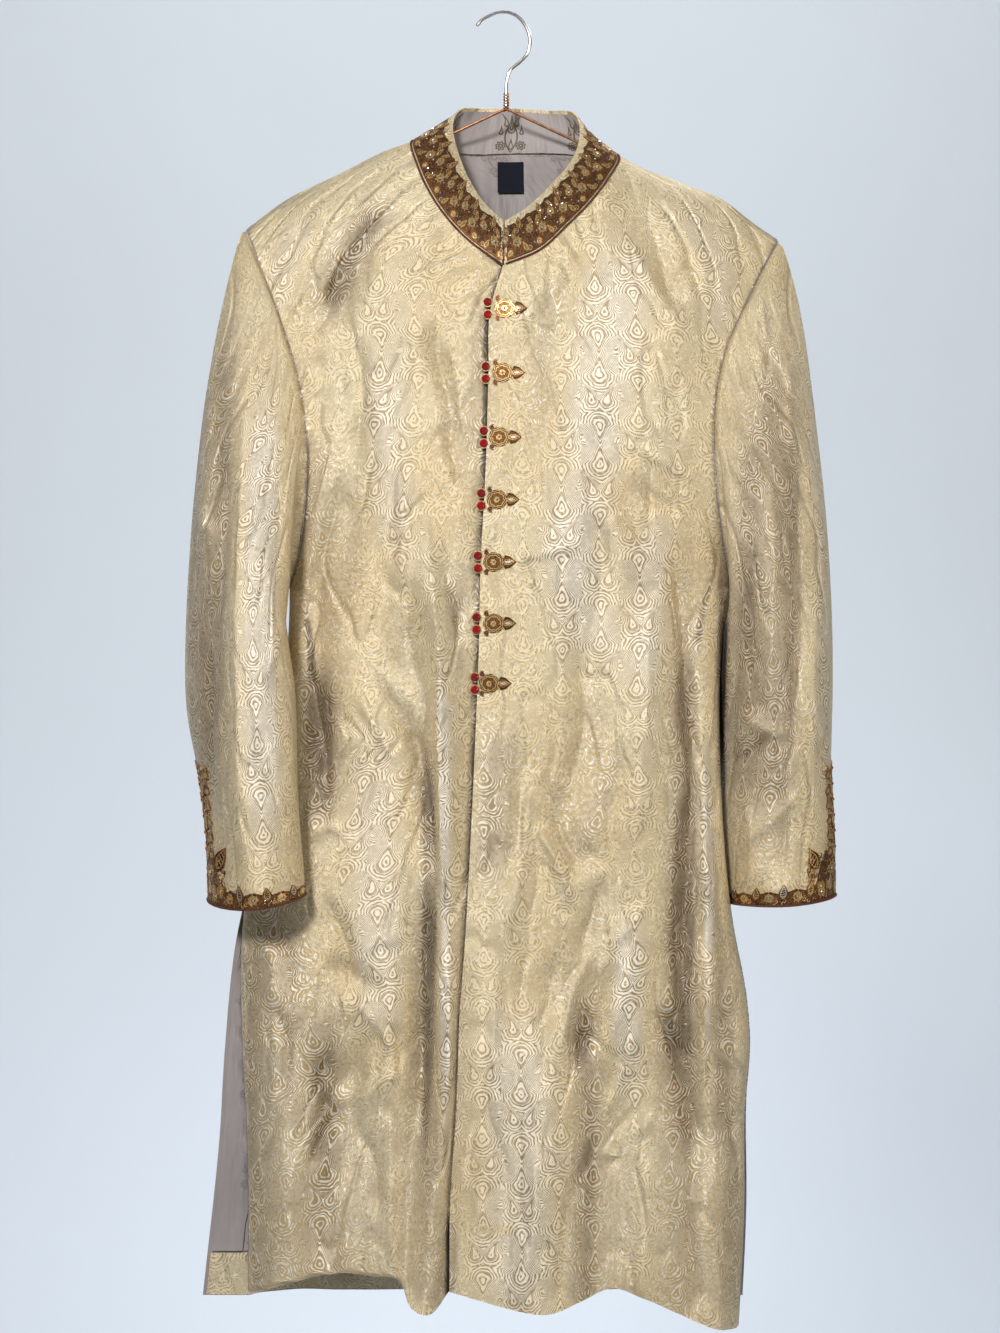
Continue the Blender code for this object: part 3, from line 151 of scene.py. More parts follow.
# Armholes: the seam from the shoulder to the underarm, before and behind: x, y, z (mm)
ARMHOLES = {
    ("right", "front"): (
        (-238, 0, -199), (-225, -12, -232), (-211, -22, -267), (-198, -31, -305), (-188, -37, -338),
        (-182, -41, -370), (-179, -43, -402), (-180, -42, -445), (-184, -35, -485), (-190, -23, -513),
        (-196, -12, -528), (-198, -4, -533),
    ),
    ("right", "back"): (
        (-238, 0, -199), (-226, 10, -235), (-212, 19, -275), (-198, 27, -320), (-189, 32, -370),
        (-186, 33, -410), (-187, 31, -460), (-191, 23, -500), (-196, 9, -525), (-198, -4, -533),
    ),
    ("left", "front"): (
        (253, 0, -209), (236, -12, -241), (222, -22, -269), (206, -31, -303), (196, -38, -335),
        (191, -42, -367), (190, -43, -400), (193, -42, -442), (198, -35, -482), (204, -22, -512),
        (208, -12, -527), (210, -4, -533),
    ),
    ("left", "back"): (
        (253, 0, -209), (240, 10, -240), (225, 19, -280), (210, 27, -325), (201, 32, -370), (198, 33, -405),
        (199, 31, -455), (203, 23, -498), (208, 9, -524), (210, -4, -533),
    ),
}

# Folds of the fronts: x and z of the top, middle and foot of the line, its half width, and how far it
# rises (+) or sinks (-), all in mm
FOLDS = {
    "front": (
        (-70, -160, -143, -248, -162, -304, 17, -7), (-80, -170, -90, -270, -85, -365, 22, 6),
        (-67, -284, -46, -370, -42, -440, 13, -6), (-130, -329, -135, -450, -166, -617, 18, -7),
        (-184, -480, -170, -617, -157, -752, 18, -8), (-76, -425, -56, -640, -58, -850, 14, 11),
        (-58, -800, -52, -930, -72, -1185, 15, 13), (-103, -520, -72, -690, -67, -800, 17, -9),
        (-70, -760, -74, -930, -88, -1160, 15, -9), (-100, -600, -76, -650, -56, -712, 10, 5),
        (-160, -862, -136, -884, -108, -900, 9, -5), (-148, -1004, -130, -960, -100, -920, 10, -5),
        (-150, -900, -140, -1040, -130, -1170, 34, -9), (-205, -850, -200, -1000, -205, -1180, 20, 7),
        (-112, -200, -118, -330, -112, -440, 20, 5), (77, -205, 37, -284, 14, -347, 14, -5),
        (122, -194, 146, -235, 148, -285, 14, -5), (60, -300, 66, -420, 40, -560, 22, 5),
        (104, -383, 136, -398, 170, -420, 10, 4), (77, -437, 98, -480, 124, -530, 11, 4),
        (68, -527, 78, -650, 56, -760, 16, -7), (38, -700, 62, -760, 90, -800, 12, -5),
        (163, -480, 166, -610, 176, -720, 14, -8), (176, -690, 160, -840, 158, -930, 14, -9),
        (158, -900, 164, -980, 178, -1090, 14, -8), (176, -715, 186, -830, 184, -990, 10, 7),
        (90, -790, 72, -900, 48, -1010, 17, -6), (124, -815, 108, -900, 84, -1000, 16, 6),
        (30, -880, 40, -1020, 38, -1190, 28, 10), (100, -900, 98, -1040, 94, -1180, 24, -10),
        (186, -1010, 190, -1100, 196, -1205, 22, 9), (0, -620, 6, -760, -6, -900, 14, 5),
        (120, -560, 128, -660, 122, -780, 16, 6),
    ),
    "back": (
        (-60, -220, -90, -330, -100, -450, 24, 6), (70, -230, 100, -340, 108, -460, 24, 6),
        (-120, -500, -110, -700, -118, -960, 24, -7), (-60, -620, -66, -860, -60, -1180, 26, 8),
        (40, -560, 52, -800, 50, -1180, 24, -8), (120, -520, 130, -760, 140, -1180, 24, 8),
        (-170, -700, -180, -920, -190, -1180, 24, 7),
    ),
}
FOLD_POINTS = 13  # points on each fold's line
FOLD_TAPER = 0.3  # a fold rises and dies over this share of its length
FOLD_TO_HEM = -1150  # a fold whose foot is lower than this runs out at the hem (mm)
SEAM_CALM = 24 * MM  # folds die out over this distance from the side seams and armholes
NECK_CALM = 3  # and over this many rows of cells from the neck and shoulder
SIDE_FIT = 0.3  # share of the width over which a panel is brought to its side edge
NECK_FIT = 0.1  # and of the height, to its neck edge

# Sleeves: a row for each section from the armhole down, with the x, y, z of its outer, front, inner
# and back points (mm)
SLEEVE = {
    "right": (
    ((-238, 0, -199), (-178, -44, -405), (-198, -4, -533), (-186, 33, -400)),
    ((-246, -1, -212), (-186, -56, -404), (-212, -10, -531), (-195, 36, -402)),
    ((-264, -6, -290), (-202, -78, -450), (-206, -34, -556), (-214, 38, -445)),
    ((-277, -12, -375), (-222, -92, -492), (-195, -56, -584), (-232, 34, -490)),
    ((-287, -16, -475), (-230, -99, -550), (-188, -67, -620), (-242, 26, -552)),
    ((-292, -19, -570), (-230, -102, -615), (-186, -69, -660), (-243, 12, -618)),
    ((-291, -22, -640), (-229, -103, -672), (-185, -71, -705), (-243, -4, -676)),
    ((-280, -26, -700), (-228, -103, -722), (-183, -72, -742), (-240, -20, -724)),
    ((-272, -29, -755), (-227, -102, -767), (-180, -72, -776), (-236, -31, -768)),
    ((-269, -32, -815), (-226, -101, -819), (-178, -71, -807), (-230, -40, -814)),
    ),
    "left": (
    ((253, 0, -209), (190, -44, -400), (210, -4, -533), (198, 33, -398)),
    ((261, 0, -224), (197, -52, -402), (224, 0, -531), (207, 36, -399)),
    ((275, -1, -280), (214, -62, -446), (227, 6, -552), (224, 42, -440)),
    ((286, 0, -355), (232, -66, -490), (223, 11, -582), (241, 46, -482)),
    ((296, 2, -445), (249, -62, -545), (217, 13, -618), (252, 48, -540)),
    ((302, 4, -535), (256, -56, -602), (213, 14, -655), (258, 48, -600)),
    ((304, 6, -615), (258, -49, -660), (211, 15, -700), (258, 48, -660)),
    ((303, 8, -695), (257, -43, -722), (209, 16, -748), (257, 47, -722)),
    ((306, 8, -755), (258, -39, -770), (211, 16, -788), (258, 45, -770)),
    ((307, 8, -815), (258, -36, -822), (213, 16, -822), (258, 43, -820)),
    ),
}
SLEEVE_CREASE = 1.16  # how much sharper than an ellipse the lower sleeve's section is
CREASE_SHARE = 0.4  # share of its length over which the section sharpens
CAP_FADE = 0.25  # share of its length over which a sleeve leaves the armhole's shape
SLEEVE_INSETS = (1.3 * MM, 1.2 * MM, 0.8 * MM)  # how far the first rings lie inside the armhole
SLEEVE_START = 0.9 * MM  # sleeve's first ring beyond the armhole
SLEEVE_SPACING = 1.35  # rings lie closer together near the cap

# Finer creases of the fronts, in the same columns as the folds
CREASES = {
    "front": (
        (-98, -166, -137, -220, -168, -299, 8, -5), (-119, -184, -155, -240, -178, -278, 7, 4),
        (-137, -292, -127, -364, -139, -431, 8, -4), (-67, -294, -58, -337, -44, -385, 4, -4),
        (-52, -297, -42, -350, -37, -400, 5, 3), (-47, -364, -48, -400, -38, -454, 4, -3.5),
        (-83, -400, -90, -472, -92, -553, 9, 4), (-140, -413, -164, -508, -173, -598, 11, -6),
        (-60, -494, -47, -544, -36, -589, 9, -4), (-67, -508, -58, -598, -54, -697, 5, 4),
        (-119, -598, -92, -654, -52, -702, 5, -4), (-135, -625, -108, -672, -94, -697, 4, 2.5),
        (-182, -589, -166, -661, -158, -760, 11, -6), (-178, -760, -161, -750, -142, -749, 3, 2),
        (-97, -625, -68, -715, -61, -818, 6, -5), (-61, -580, -59, -724, -51, -868, 4, 4.5),
        (-51, -859, -49, -958, -61, -1075, 5, 4.5), (-68, -796, -72, -913, -79, -1048, 9, -6),
        (-166, -805, -142, -859, -139, -913, 6, -4.5), (-137, -881, -114, -852, -86, -846, 5, 2.5),
        (-137, -906, -119, -922, -92, -965, 4, 2.5), (-99, -922, -95, -951, -94, -981, 4, -3.5),
        (-85, -960, -115, -983, -142, -1005, 7, 4), (-143, -997, -161, -1023, -179, -1060, 5, -4.5),
        (-157, -949, -168, -987, -146, -1017, 4, -3.5), (-209, -904, -196, -949, -207, -1012, 8, -3.5),
        (-229, -843, -209, -875, -218, -915, 7, 3), (-137, -1012, -119, -1048, -112, -1111, 6, -4),
        (-184, -1021, -193, -1084, -184, -1156, 12, 3.5), (-143, -1057, -148, -1102, -157, -1156, 9, 3.5),
        (-98, -1039, -103, -1102, -96, -1165, 7, 4), (122, -159, 139, -220, 160, -301, 7, -4),
        (106, -207, 133, -256, 171, -312, 7, 4), (155, -180, 167, -229, 182, -277, 5, -3),
        (84, -213, 56, -265, 37, -314, 9, -4), (104, -400, 136, -416, 178, -438, 6, 3.5),
        (115, -429, 137, -454, 167, -465, 6, -3), (77, -445, 88, -508, 79, -580, 7, -3),
        (1, -510, 37, -501, 77, -490, 4, 2.5), (151, -490, 162, -580, 166, -661, 4, -4.5),
        (167, -580, 171, -688, 166, -787, 6, -5), (178, -625, 183, -751, 185, -868, 5, 4.5),
        (187, -859, 180, -958, 191, -1057, 5, 4.5), (169, -769, 162, -868, 167, -967, 9, -5),
        (61, -571, 72, -652, 54, -724, 8, -4), (23, -740, 47, -778, 66, -827, 4, 3.5),
        (38, -729, 57, -767, 70, -799, 4, -4), (92, -785, 81, -821, 68, -868, 5, -5),
        (101, -857, 79, -911, 64, -980, 6, -5), (88, -846, 63, -895, 50, -963, 5, 4),
        (133, -812, 110, -841, 94, -861, 4, 3), (52, -850, 38, -913, 36, -990, 8, -4),
        (124, -911, 106, -976, 84, -1026, 8, 4), (139, -904, 151, -942, 169, -969, 6, -5),
        (76, -1039, 106, -1046, 137, -1001, 4, 3), (86, -1060, 113, -1041, 133, -1017, 4, -3.5),
        (7, -648, 14, -724, -2, -818, 10, -4), (25, -688, 18, -769, 4, -846, 5, 3),
        (-4, -859, -9, -958, 2, -1048, 7, 3), (-25, -1005, -31, -1059, -27, -1109, 2.5, 1.6),
        (86, -1021, 59, -1084, 50, -1165, 9, -4), (122, -1030, 131, -1093, 122, -1165, 8, 4),
        (176, -1039, 167, -1102, 176, -1174, 8, -4), (23, -1021, 28, -1084, 14, -1165, 8, 3.5),
        (1, -274, 32, -301, 64, -319, 7, 2.5), (122, -535, 131, -616, 122, -706, 12, 4),
    ),
    "back": (
        (-8, -200, -12, -420, -10, -640, 9, -3), (-60, -330, -52, -480, -66, -640, 7, 3),
        (70, -340, 62, -500, 74, -680, 7, -3), (-150, -560, -146, -640, -110, -700, 6, 3),
        (150, -560, 148, -650, 108, -720, 6, -3), (-90, -760, -96, -960, -84, -1170, 8, -4),
        (14, -700, 20, -930, 8, -1170, 7, 4), (96, -780, 104, -980, 96, -1170, 8, 4),
        (160, -840, 156, -1000, 172, -1160, 7, -4), (-150, -860, -156, -1010, -146, -1170, 8, 4),
        (-40, -880, -30, -960, 4, -1010, 5, -2), (60, -1000, 88, -1030, 120, -1036, 5, 2),
    ),
}
SLEEVE_CREASES = {
    "right": (
        (-229, -262, -232, -500, -229, -830, 13, 7), (-206, -330, -200, -470, -204, -640, 9, -3),
        (-262, -300, -268, -430, -262, -560, 8, 3), (-250, -400, -247, -480, -254, -570, 6, -3),
        (-214, -480, -206, -560, -214, -650, 6, 2.5), (-268, -560, -262, -640, -268, -720, 7, -2.5),
        (-245, -620, -252, -680, -246, -760, 5, 2), (-216, -650, -208, -700, -196, -730, 5, -2.5),
        (-196, -560, -206, -600, -222, -620, 5, 2.5), (-278, -440, -270, -470, -256, -490, 5, 2.5),
        (-258, -690, -250, -740, -252, -800, 6, -2),
    ),
    "left": (
        (236, -250, 228, -300, 222, -350, 5, 2.5), (249, -262, 243, -310, 238, -370, 5, -2.5),
        (260, -300, 258, -370, 262, -420, 6, 3), (237, -410, 242, -540, 239, -660, 10, 4),
        (268, -400, 272, -540, 266, -680, 11, -5), (243, -662, 222, -684, 204, -692, 4, -3),
        (238, -640, 224, -658, 212, -672, 4, 2.5), (271, -715, 246, -742, 221, -767, 5, 2.5),
        (216, -644, 236, -660, 262, -664, 5, 2.5), (250, -700, 256, -750, 250, -810, 7, -3),
        (222, -720, 228, -770, 222, -815, 7, 3), (226, -470, 220, -560, 226, -640, 6, -2.5),
        (286, -520, 280, -600, 284, -700, 7, 3),
    ),
}

# Broad shades and highlights painted into the hung cloth's colour, in the folds' columns but with a strength:
# painted shade above 0, painted highlight below
SHADES = {
    "front": (
        (-98, -160, -139, -220, -178, -305, 20, 0.7), (-206, -760, -212, -990, -206, -1180, 30, 1.1),
        (-160, -860, -164, -1010, -160, -1180, 18, 0.6), (-166, -580, -168, -680, -170, -790, 16, 0.8),
        (-46, -490, -48, -566, -52, -650, 14, 0.7), (-4, -630, -8, -724, -12, -830, 17, 0.8),
        (-66, -580, -66, -870, -64, -1170, 10, 0.9), (68, -850, 72, -1010, 68, -1170, 15, 0.7),
        (156, -500, 162, -750, 158, -1000, 16, 0.7), (150, -860, 160, -1030, 166, -1175, 22, 0.6),
        (190, -800, 200, -1050, 206, -1175, 18, 0.8), (-170, -380, -178, -450, -184, -520, 18, 0.6),
        (50, -250, 36, -330, 26, -420, 12, 0.4), (-16, -230, -22, -330, -26, -470, 12, 0.5),
        (120, -640, 98, -700, 62, -790, 10, 0.5), (100, -330, 118, -420, 112, -520, 14, 0.4),
        # The first row below paints the shade in the gap between the body and the left sleeve; the two after
        # it are the dart lines
        (200, -500, 199, -610, 200, -740, 5, 1.6), (-183, -544, -176, -589, -175, -627, 4, 0.8),
        (192, -508, 183, -544, 174, -598, 4, 0.8), (-37, -1110, -13, -1110.5, 11, -1110, 4, 0.8),
        (-48, -1090, -47, -1130, -48, -1170, 6, 1.0), (-56, -500, -54, -790, -54, -1070, 5, -1.2),
        (-112, -620, -116, -814, -108, -1000, 26, -0.7), (6, -890, 8, -1020, 4, -1150, 30, -0.6),
        (108, -800, 112, -930, 114, -1050, 16, -0.7), (182, -620, 185, -840, 184, -1060, 6, -1.0),
        (-100, -300, -108, -400, -100, -520, 22, -0.6), (100, -180, 96, -300, 84, -480, 34, -0.9),
        (60, -420, 70, -540, 90, -640, 30, -0.9), (130, -440, 132, -540, 132, -640, 22, -0.7),
        (-170, -170, -200, -230, -215, -300, 16, -0.5), (150, -170, 190, -230, 200, -330, 20, -0.5),
    ),
    "back": (
        (-120, -300, -130, -700, -140, -1150, 26, 0.5), (110, -420, 120, -800, 130, -1150, 24, 0.5),
        (0, -250, 4, -700, 0, -1150, 26, -0.5),
    ),
}
# The sleeves' painted shades and highlights likewise; the left sleeve's first row paints the shade of the gap
# between it and the body
SLEEVE_SHADES = {
    "right": (
        (-262, -240, -278, -480, -272, -830, 13, 1.0), (-246, -220, -256, -480, -250, -830, 13, 0.9),
        (-212, -300, -214, -560, -210, -820, 13, -1.3),
    ),
    "left": (
        (201, -500, 200, -610, 199, -760, 4.6, 2.4), (250, -240, 246, -500, 244, -830, 20, 1.1),
        (222, -300, 218, -500, 216, -830, 12, 0.8), (280, -260, 290, -500, 294, -800, 12, -0.5),
    ),
}
TROUGH_SHARE = 0.4  # share of a fold's own depth in its painted shade, and of a ridge's height in its painted highlight
SHADE_GAIN = 1.30  # of the broad painted shades and highlights over their tables
FOLD_DARK = 1.02  # the folds' painted shade gets no darker than this
LINE_DARK = 1.7  # and painted shades beyond this are lines, as dark as a seam's painted shade
SHADE_EDGE = 3.0  # 2 is a soft painted shade, more has a crisper edge
# Painted shade beside the seams: its strength and its reach
SEAM_DARK = 1.15
SEAM_SHADE_REACH = 2.6 * MM
PLACKET_SHADE = 5.0 * MM  # reach of the painted shade beside the placket's edge
PLACKET_GROOVE = 1.2 * MM  # and the depth of the hollow there
LAP_DARK = 2  # the underlap's painted shade behind that edge
LAP_DARK_AT = 0.4  # and how far past it the painted shade is darkest, in reaches

# The shells, in metres unless they are shares
SHELL = 1.3 * MM  # the cloth as it shows
CREASE_GAIN = 1.4  # of the finer creases over their table
CRISP = 1.2  # 2 is a soft ridge, less is sharper
TROUGH_DEPTH = 7 * MM  # a fold this deep gets the full painted shade, a ridge this high the full painted highlight
SHARP_DEGREES = 50
BODY_AXIS = (0, 0, -0.7)  # points that the outer faces look away from
NECK_AXIS = (0.008, -0.004, -0.13)
COLLAR_FRONT_TRIM = 1.0 * MM
COLLAR_BACK_TRIM = 0.1 * MM
COLLAR_FINE = 5  # steps in each of the collar's cells
SLEEVE_FINE = 7  # and between a sleeve's rings
RELAX_STRIDES = (8, 4, 2, 1)
RELAX_ROUNDS = 60
SOFT_FIT = 0.06  # share of a panel beside its edges that keeps their corners
SOFT_ROUNDS = 180
NECK_SOFT = 0.016
SLEEVE_TUCKS = (  # how far the left sleeve's inner edge is drawn behind the body: share of its length, mm
    (0.12, 0.22, 0.32, 0.44, 0.56, 0.68, 0.8, 1), (0, 9, 22, 24, 17, 12, 9, 8),
)
FRONT_NODES = {"right": "front_right_underlap", "left": "front_left_overlap"}
PANEL_NODES = {"front": ("upper", "middle", "lower"), "back": ("upper", "lower")}

# Beads and stones, in shares of their radius
BEAD_RISE = 0.8
GIRDLE = 0.72  # a bead's girdle against its belt
GIRDLE_RISE = 0.7  # and its place up to the tip
STONE_SIDES = 10
STONE_LEVELS = (  # reach, rise, turn in sides
    (0.55, -0.45, 0), (1.0, 0.0, 0.5), (0.98, 0.12, 0.5), (0.80, 0.48, 0), (0.48, 0.66, 0.5),
)

# Embroidery (m)
STITCH_LOOKS = ("gold", "copper", "dark", "crystal", "red", "silver")
GOLD, COPPER, DARK, CRYSTAL, RED, SILVER = range(len(STITCH_LOOKS))
WIRE = 0.00050  # radius of a coil
COLLAR_WORK = (0.05, 0.80)  # lower and upper edge of the band, as shares of the collar's height
COLLAR_REPEAT = 0.031
COLLAR_START = {"right": 0.004, "left": 0.012}
COLLAR_SEED = 21
COLLAR_GROUND = 0.7 * MM  # the band's thickness, its lift, and its points up and along
COLLAR_GROUND_LIFT = 0.8 * MM
COLLAR_GROUND_POINTS = (6, 150)
COLLAR_CLEAR = 0.004  # its beads keep this far from the ends
COLLAR_BEADS = ((170, 0.0006, GOLD), (60, 0.0007, CRYSTAL))  # how many, radius, colour
COLLAR_STONE = 0.00115
COLLAR_FILL = 30  # curls that fill each repeat
FILL_SIZES = (0.0011, 0.0024)
FILL_TURNS = (2.2, 4.6)
FILL_POINTS = 9
FILL_LOOKS = (GOLD, COPPER, COPPER, DARK)
EDGE_UP = 0.0012  # the wavy coil along the band's foot: its place, depth and pitch
EDGE_WAVE = 0.0004
EDGE_COIL = 0.0048
COLLAR_SCALLOP = 0.0155  # pitch of the band's scallops
CUSP_AT = 0.010  # where in each repeat the band rises, how wide and how far
CUSP_WIDTH = 0.0035
CUSP_RISE = 0.004
COLLAR_ROSETTES = (  # along, up from the foot (0), middle (1) or head (2), size, petals, heart
    (0.006, 1, -0.0030, 0.0072, 8, CRYSTAL), (0.66 * COLLAR_REPEAT, 1, 0.0036, 0.0066, 7, CRYSTAL),
    (0.44 * COLLAR_REPEAT, 0, 0.0050, 0.0042, 6, GOLD),
)
COLLAR_LEAVES = (  # along and up likewise, length, width, lean
    (0.002, 2, -0.0080, 0.0125, 0.0085, math.pi / 2 + 0.1),
    (0.34 * COLLAR_REPEAT, 1, 0.001, 0.011, 0.0060, 1.9),
    (0.86 * COLLAR_REPEAT, 0, 0.0015, 0.011, 0.0058, 1.2),
    (0.50 * COLLAR_REPEAT, 2, -0.009, 0.0090, 0.0052, 1.0),
)
CURLS = (  # along the repeat, up the band (shares), size, turn, winding
    (0.16, 0.72, 0.0030, 0.4, 1), (0.32, 0.20, 0.0032, 2.0, -1), (0.56, 0.88, 0.0026, 4.0, 1),
    (0.86, 0.36, 0.0030, 1.0, -1), (0.95, 0.80, 0.0027, 5.0, 1), (0.06, 0.10, 0.0025, 3.0, -1),
    (0.78, 0.10, 0.0027, 0.0, 1),
)
STONES = ((0.02, 0.86), (0.30, 0.62), (0.42, 0.44), (0.50, 0.72), (0.92, 0.58), (0.60, 0.20), (0.12, 0.28))
CUFF_ROWS = 60  # rings above the cuff's edge that carry its embroidery
CUFF_REPEAT = 0.026
CUFF_SEED = 41
CUFF_GROUND = 0.6 * MM  # as the collar's
CUFF_GROUND_LIFT = 0.7 * MM
CUFF_GROUND_POINTS = (4, 160)
CUFF_FOOT = 0.0012
CUFF_BEADS = (  # up to, spacing, radius, colour
    (0.0115, 0.0022, 0.0006, GOLD), (0.0110, 0.0060, 0.0008, CRYSTAL),
)
BLOCK_BEADS = ((60, 0.0008, GOLD), (18, 0.0009, CRYSTAL))
BLOCK_FILL = 110
CUFF_BLOCK = {  # reach behind the outer edge, before it, and up
    "right": (0.006, 0.027, 0.036), "left": (0.006, 0.042, 0.038),
}
CUFF_ROSETTES = (  # of the block: s, t, size, turn, petals, heart
    (0.0085, 0.0235, 0.0075, 0.4, 8, CRYSTAL), (0.0220, 0.0120, 0.0060, 0.2, 7, GOLD),
    (0.0130, 0.0120, 0.0048, 0.9, 7, CRYSTAL),
)
SEEN_SHARE = 0.75  # how far the cuff's block and strip are widened to be seen from the front
STRIP_TOP = 0.097
STRIP_STEP = 0.0120
STRIP_BEADS = (  # in each step: s, t, radius, colour
    (0.0022, 0.006, 0.0019, RED), (0.0135, 0.003, 0.0009, CRYSTAL), (0.0090, 0.009, 0.0009, CRYSTAL),
    (0.0050, 0.011, 0.0009, GOLD),
)
MOTIF_ROUND = -0.0025  # middle of a motif's round
MOTIF_TIP = ((0.0045, 0.0080, 0.0125, 0.0180, 0.0125, 0.0080), (0, 0.0062, 0.0050, 0, -0.0050, -0.0062))
MOTIF_BEADS = (  # across, up, radius, colour
    (-0.0098, 0.0000, 0.0011, CRYSTAL), (-0.0025, 0.0000, 0.0009, CRYSTAL), (0.0125, 0.0000, 0.0007, CRYSTAL),
    (-0.0085, 0.0058, 0.0008, CRYSTAL), (-0.0085, -0.0058, 0.0008, CRYSTAL), (0.0085, 0.0000, 0.0008, SILVER),
    (0.0060, 0.0052, 0.0006, GOLD), (0.0060, -0.0052, 0.0006, GOLD),
)
STONE = 4.0 * MM  # radius of a button's stone
BUTTON_IN = 2.6 * MM  # towards the placket edge from the solid's middle
STONE_STEP = 11.2 * MM  # and from one stone to the other
RINGS = ((1.04, 0.0003), (0.98, -0.0008))  # of gold round a stone: reach in its radii, and depth
RING_POINTS = 16
RING_RADIUS = 0.6 * MM
RING_BEAD = 0.45 * MM
RING_BEADS_AT = 1.10
STONE_OUT = 0.4 * MM
CORD_STEP = 1.1 * MM  # between the points of a cord's path
CORD_RISE = 0.9 * MM
CORD_PITCH = 4.2 * MM
PLY = 0.72 * MM
MOTIFS = ((3, -282), (1, -340), (-2, -398), (-4, -454), (-7, -510), (-7, -565), (-11, -619))  # x, z (mm)

# Inner pieces
LINING = 0.6 * MM
LINING_OFF = 2.6 * MM  # lining's face behind the cloth's
COLLAR_LINING_OFF = 1.9 * MM
COLLAR_LINING_ROWS = (-0.16, 2.78)
COLLAR_LINING_FRONT = 0.18  # share of the collar where the lining stops at the neck seam
COLLAR_LINING_TRIM = 0.6  # columns that it stops short of the collar's ends
LINING_TOPS = (0.05, 0.05, 0.05, 0.12, 0.75, 0.75, 0.75, 0.75, 0.75)  # rows below the neck, by cells
LINING_EDGE = 1  # cells between the back lining and the side edge
FACING_GAP = 0.04  # and between the lining and the facing
FACING_EDGE = 0.1
FACING_HEM = 0.02
SLIT_LINING_EDGES = (0.12, 0.97)
LINING_POINTS = (101, 113)  # points down and across each piece
SLIT_POINTS = (90, 8)
FACING_POINTS = (8, 129)
COLLAR_LINING_POINTS = (15, 181)
BACK_PUCKERS = (0.0006, 0.019, 5)  # depth, pitch, seed
COLLAR_PUCKERS = (0.0007, 0.011, 9)
FACING_DEPTH = 0.8
SPRAY_STEP = (0.066, 0.086)  # across and up between the lining's flower sprays

# Label
LABEL = 0.6 * MM
LABEL_OFF = 1.1 * MM  # its face before the lining's
LABEL_CURL = 1.2 * MM
LABEL_FROM = -0.03  # y between the collar's back and its front, from where the lining is sought
LABEL_POINTS = (17, 15)
LABEL_SEAM = 0.8  # row of its stitches, and the first and last column and how many
LABEL_STITCHES = (0.6, 13.4, 16)

# Hanger
HOOK_RADIUS = 1.6 * MM
HOOK_PATH = (  # x, z (mm)
    (-25, -11), (-21, -6), (-14, -2), (-6, 1), (2, 1.6), (12, -2), (20, -11), (24, -24), (22, -36), (14, -45),
    (6, -52), (2.6, -62), (2, -74), (2, -86.7),
)
WIRE_RADIUS = 1.35 * MM
WIRE_CORNERS = ((2, -87.5), (214, -187), (214, -196), (-210, -196), (-210, -187))  # x, z (mm)
WIRE_CORNER_RADII = (4, 6, 4, 4, 6)
TWIST_TURNS = 3
TWIST_Z = (-74 * MM, -90 * MM)
TWIST_REACH = 2.1 * MM
TWIST_THIN = 0.62  # the twisted wire's radius against the round's
TWIST_POINTS = 90

# The woven repeat (m)
COLUMN_WIDTH = 0.036
REPEAT = 0.081
PAIR = (0.0072, 0.0, 0.0045, 0.0115)  # offset from the column's centre, height, half width, tip
FLAME = (0.0, 0.024, 0.0085, 0.0150)
BUD = (0.0, -0.0215, 0.0075, 0.0125)
PAIR_LEAN = 40.0  # how far the pair's tips lean outwards
TIP_TAPER = 1.6
ECHO = 0.0033  # pitch of the lines that echo each motif
THREAD = 0.00055

# Colours
GROUND_PALE = (0.85, 0.745, 0.50)
# Painted highlight on ridges and bright shades
GROUND_PAINTED_HIGHLIGHT = (0.98, 0.93, 0.82)
GROUND_WARM = (0.66, 0.485, 0.21)
# Painted shade in troughs and dark shades
GROUND_PAINTED_SHADE = (0.25, 0.145, 0.025)
THREAD_GOLD = (0.32, 0.21, 0.075)
THREAD_SILVER = (0.92, 0.88, 0.78)
# Darkest painted shade: seams, the placket's edge, the gap beside the left sleeve, and dark lines
SEAM_SHADE = (0.030, 0.018, 0.008)
LINING_DARK = (0.27, 0.24, 0.25)
LINING_PALE = (0.42, 0.38, 0.38)
FIGURE = (0.10, 0.075, 0.045)
GROUND_BROWN = (0.045, 0.016, 0.006)
COIL_BROWN = (0.36, 0.18, 0.065)

# Camera and stage
IMAGE_LONG_SIDE = 1333
CAMERA_FOCAL = 2378  # focal length in the image's pixels
SENSOR = 36
CAMERA_PLACE = (-0.0037, -2.2, -0.6037)
WALL = 4.2
FLOOR = -3.4
STAGE_HALF = 4.5
PLASTER = (0.69, 0.76, 0.84)
PLASTER_DIM = (0.64, 0.70, 0.78)
SKY = (1.0, 0.95, 0.86)
SKY_STRENGTH = 0.20
LIGHTS = (  # name, place, aim, size, watts, colour
    ("key", (-0.9, -2.8, 0.8), (0, 0, -0.60), (0.5, 0.5), 86, (1.0, 0.965, 0.92)),
    ("wall_above", (0, 1.6, 2.6), (0, 4.2, -0.7), (3.5, 0.6), 68, (1.0, 1.0, 1.0)),
    ("wall_below", (0, 1.6, -3.2), (0, 4.2, -0.7), (3.5, 0.6), 62, (1.0, 1.0, 1.0)),
    ("back", (1.6, 2.0, 1.4), (0, 0, -0.65), (0.8, 0.8), 30, (1.0, 0.97, 0.93)),
    ("fill", (2.2, -1.8, -0.3), (0, 0, -0.7), (1.2, 1.2), 20, (1.0, 0.90, 0.76)),
)


# Curves and tables

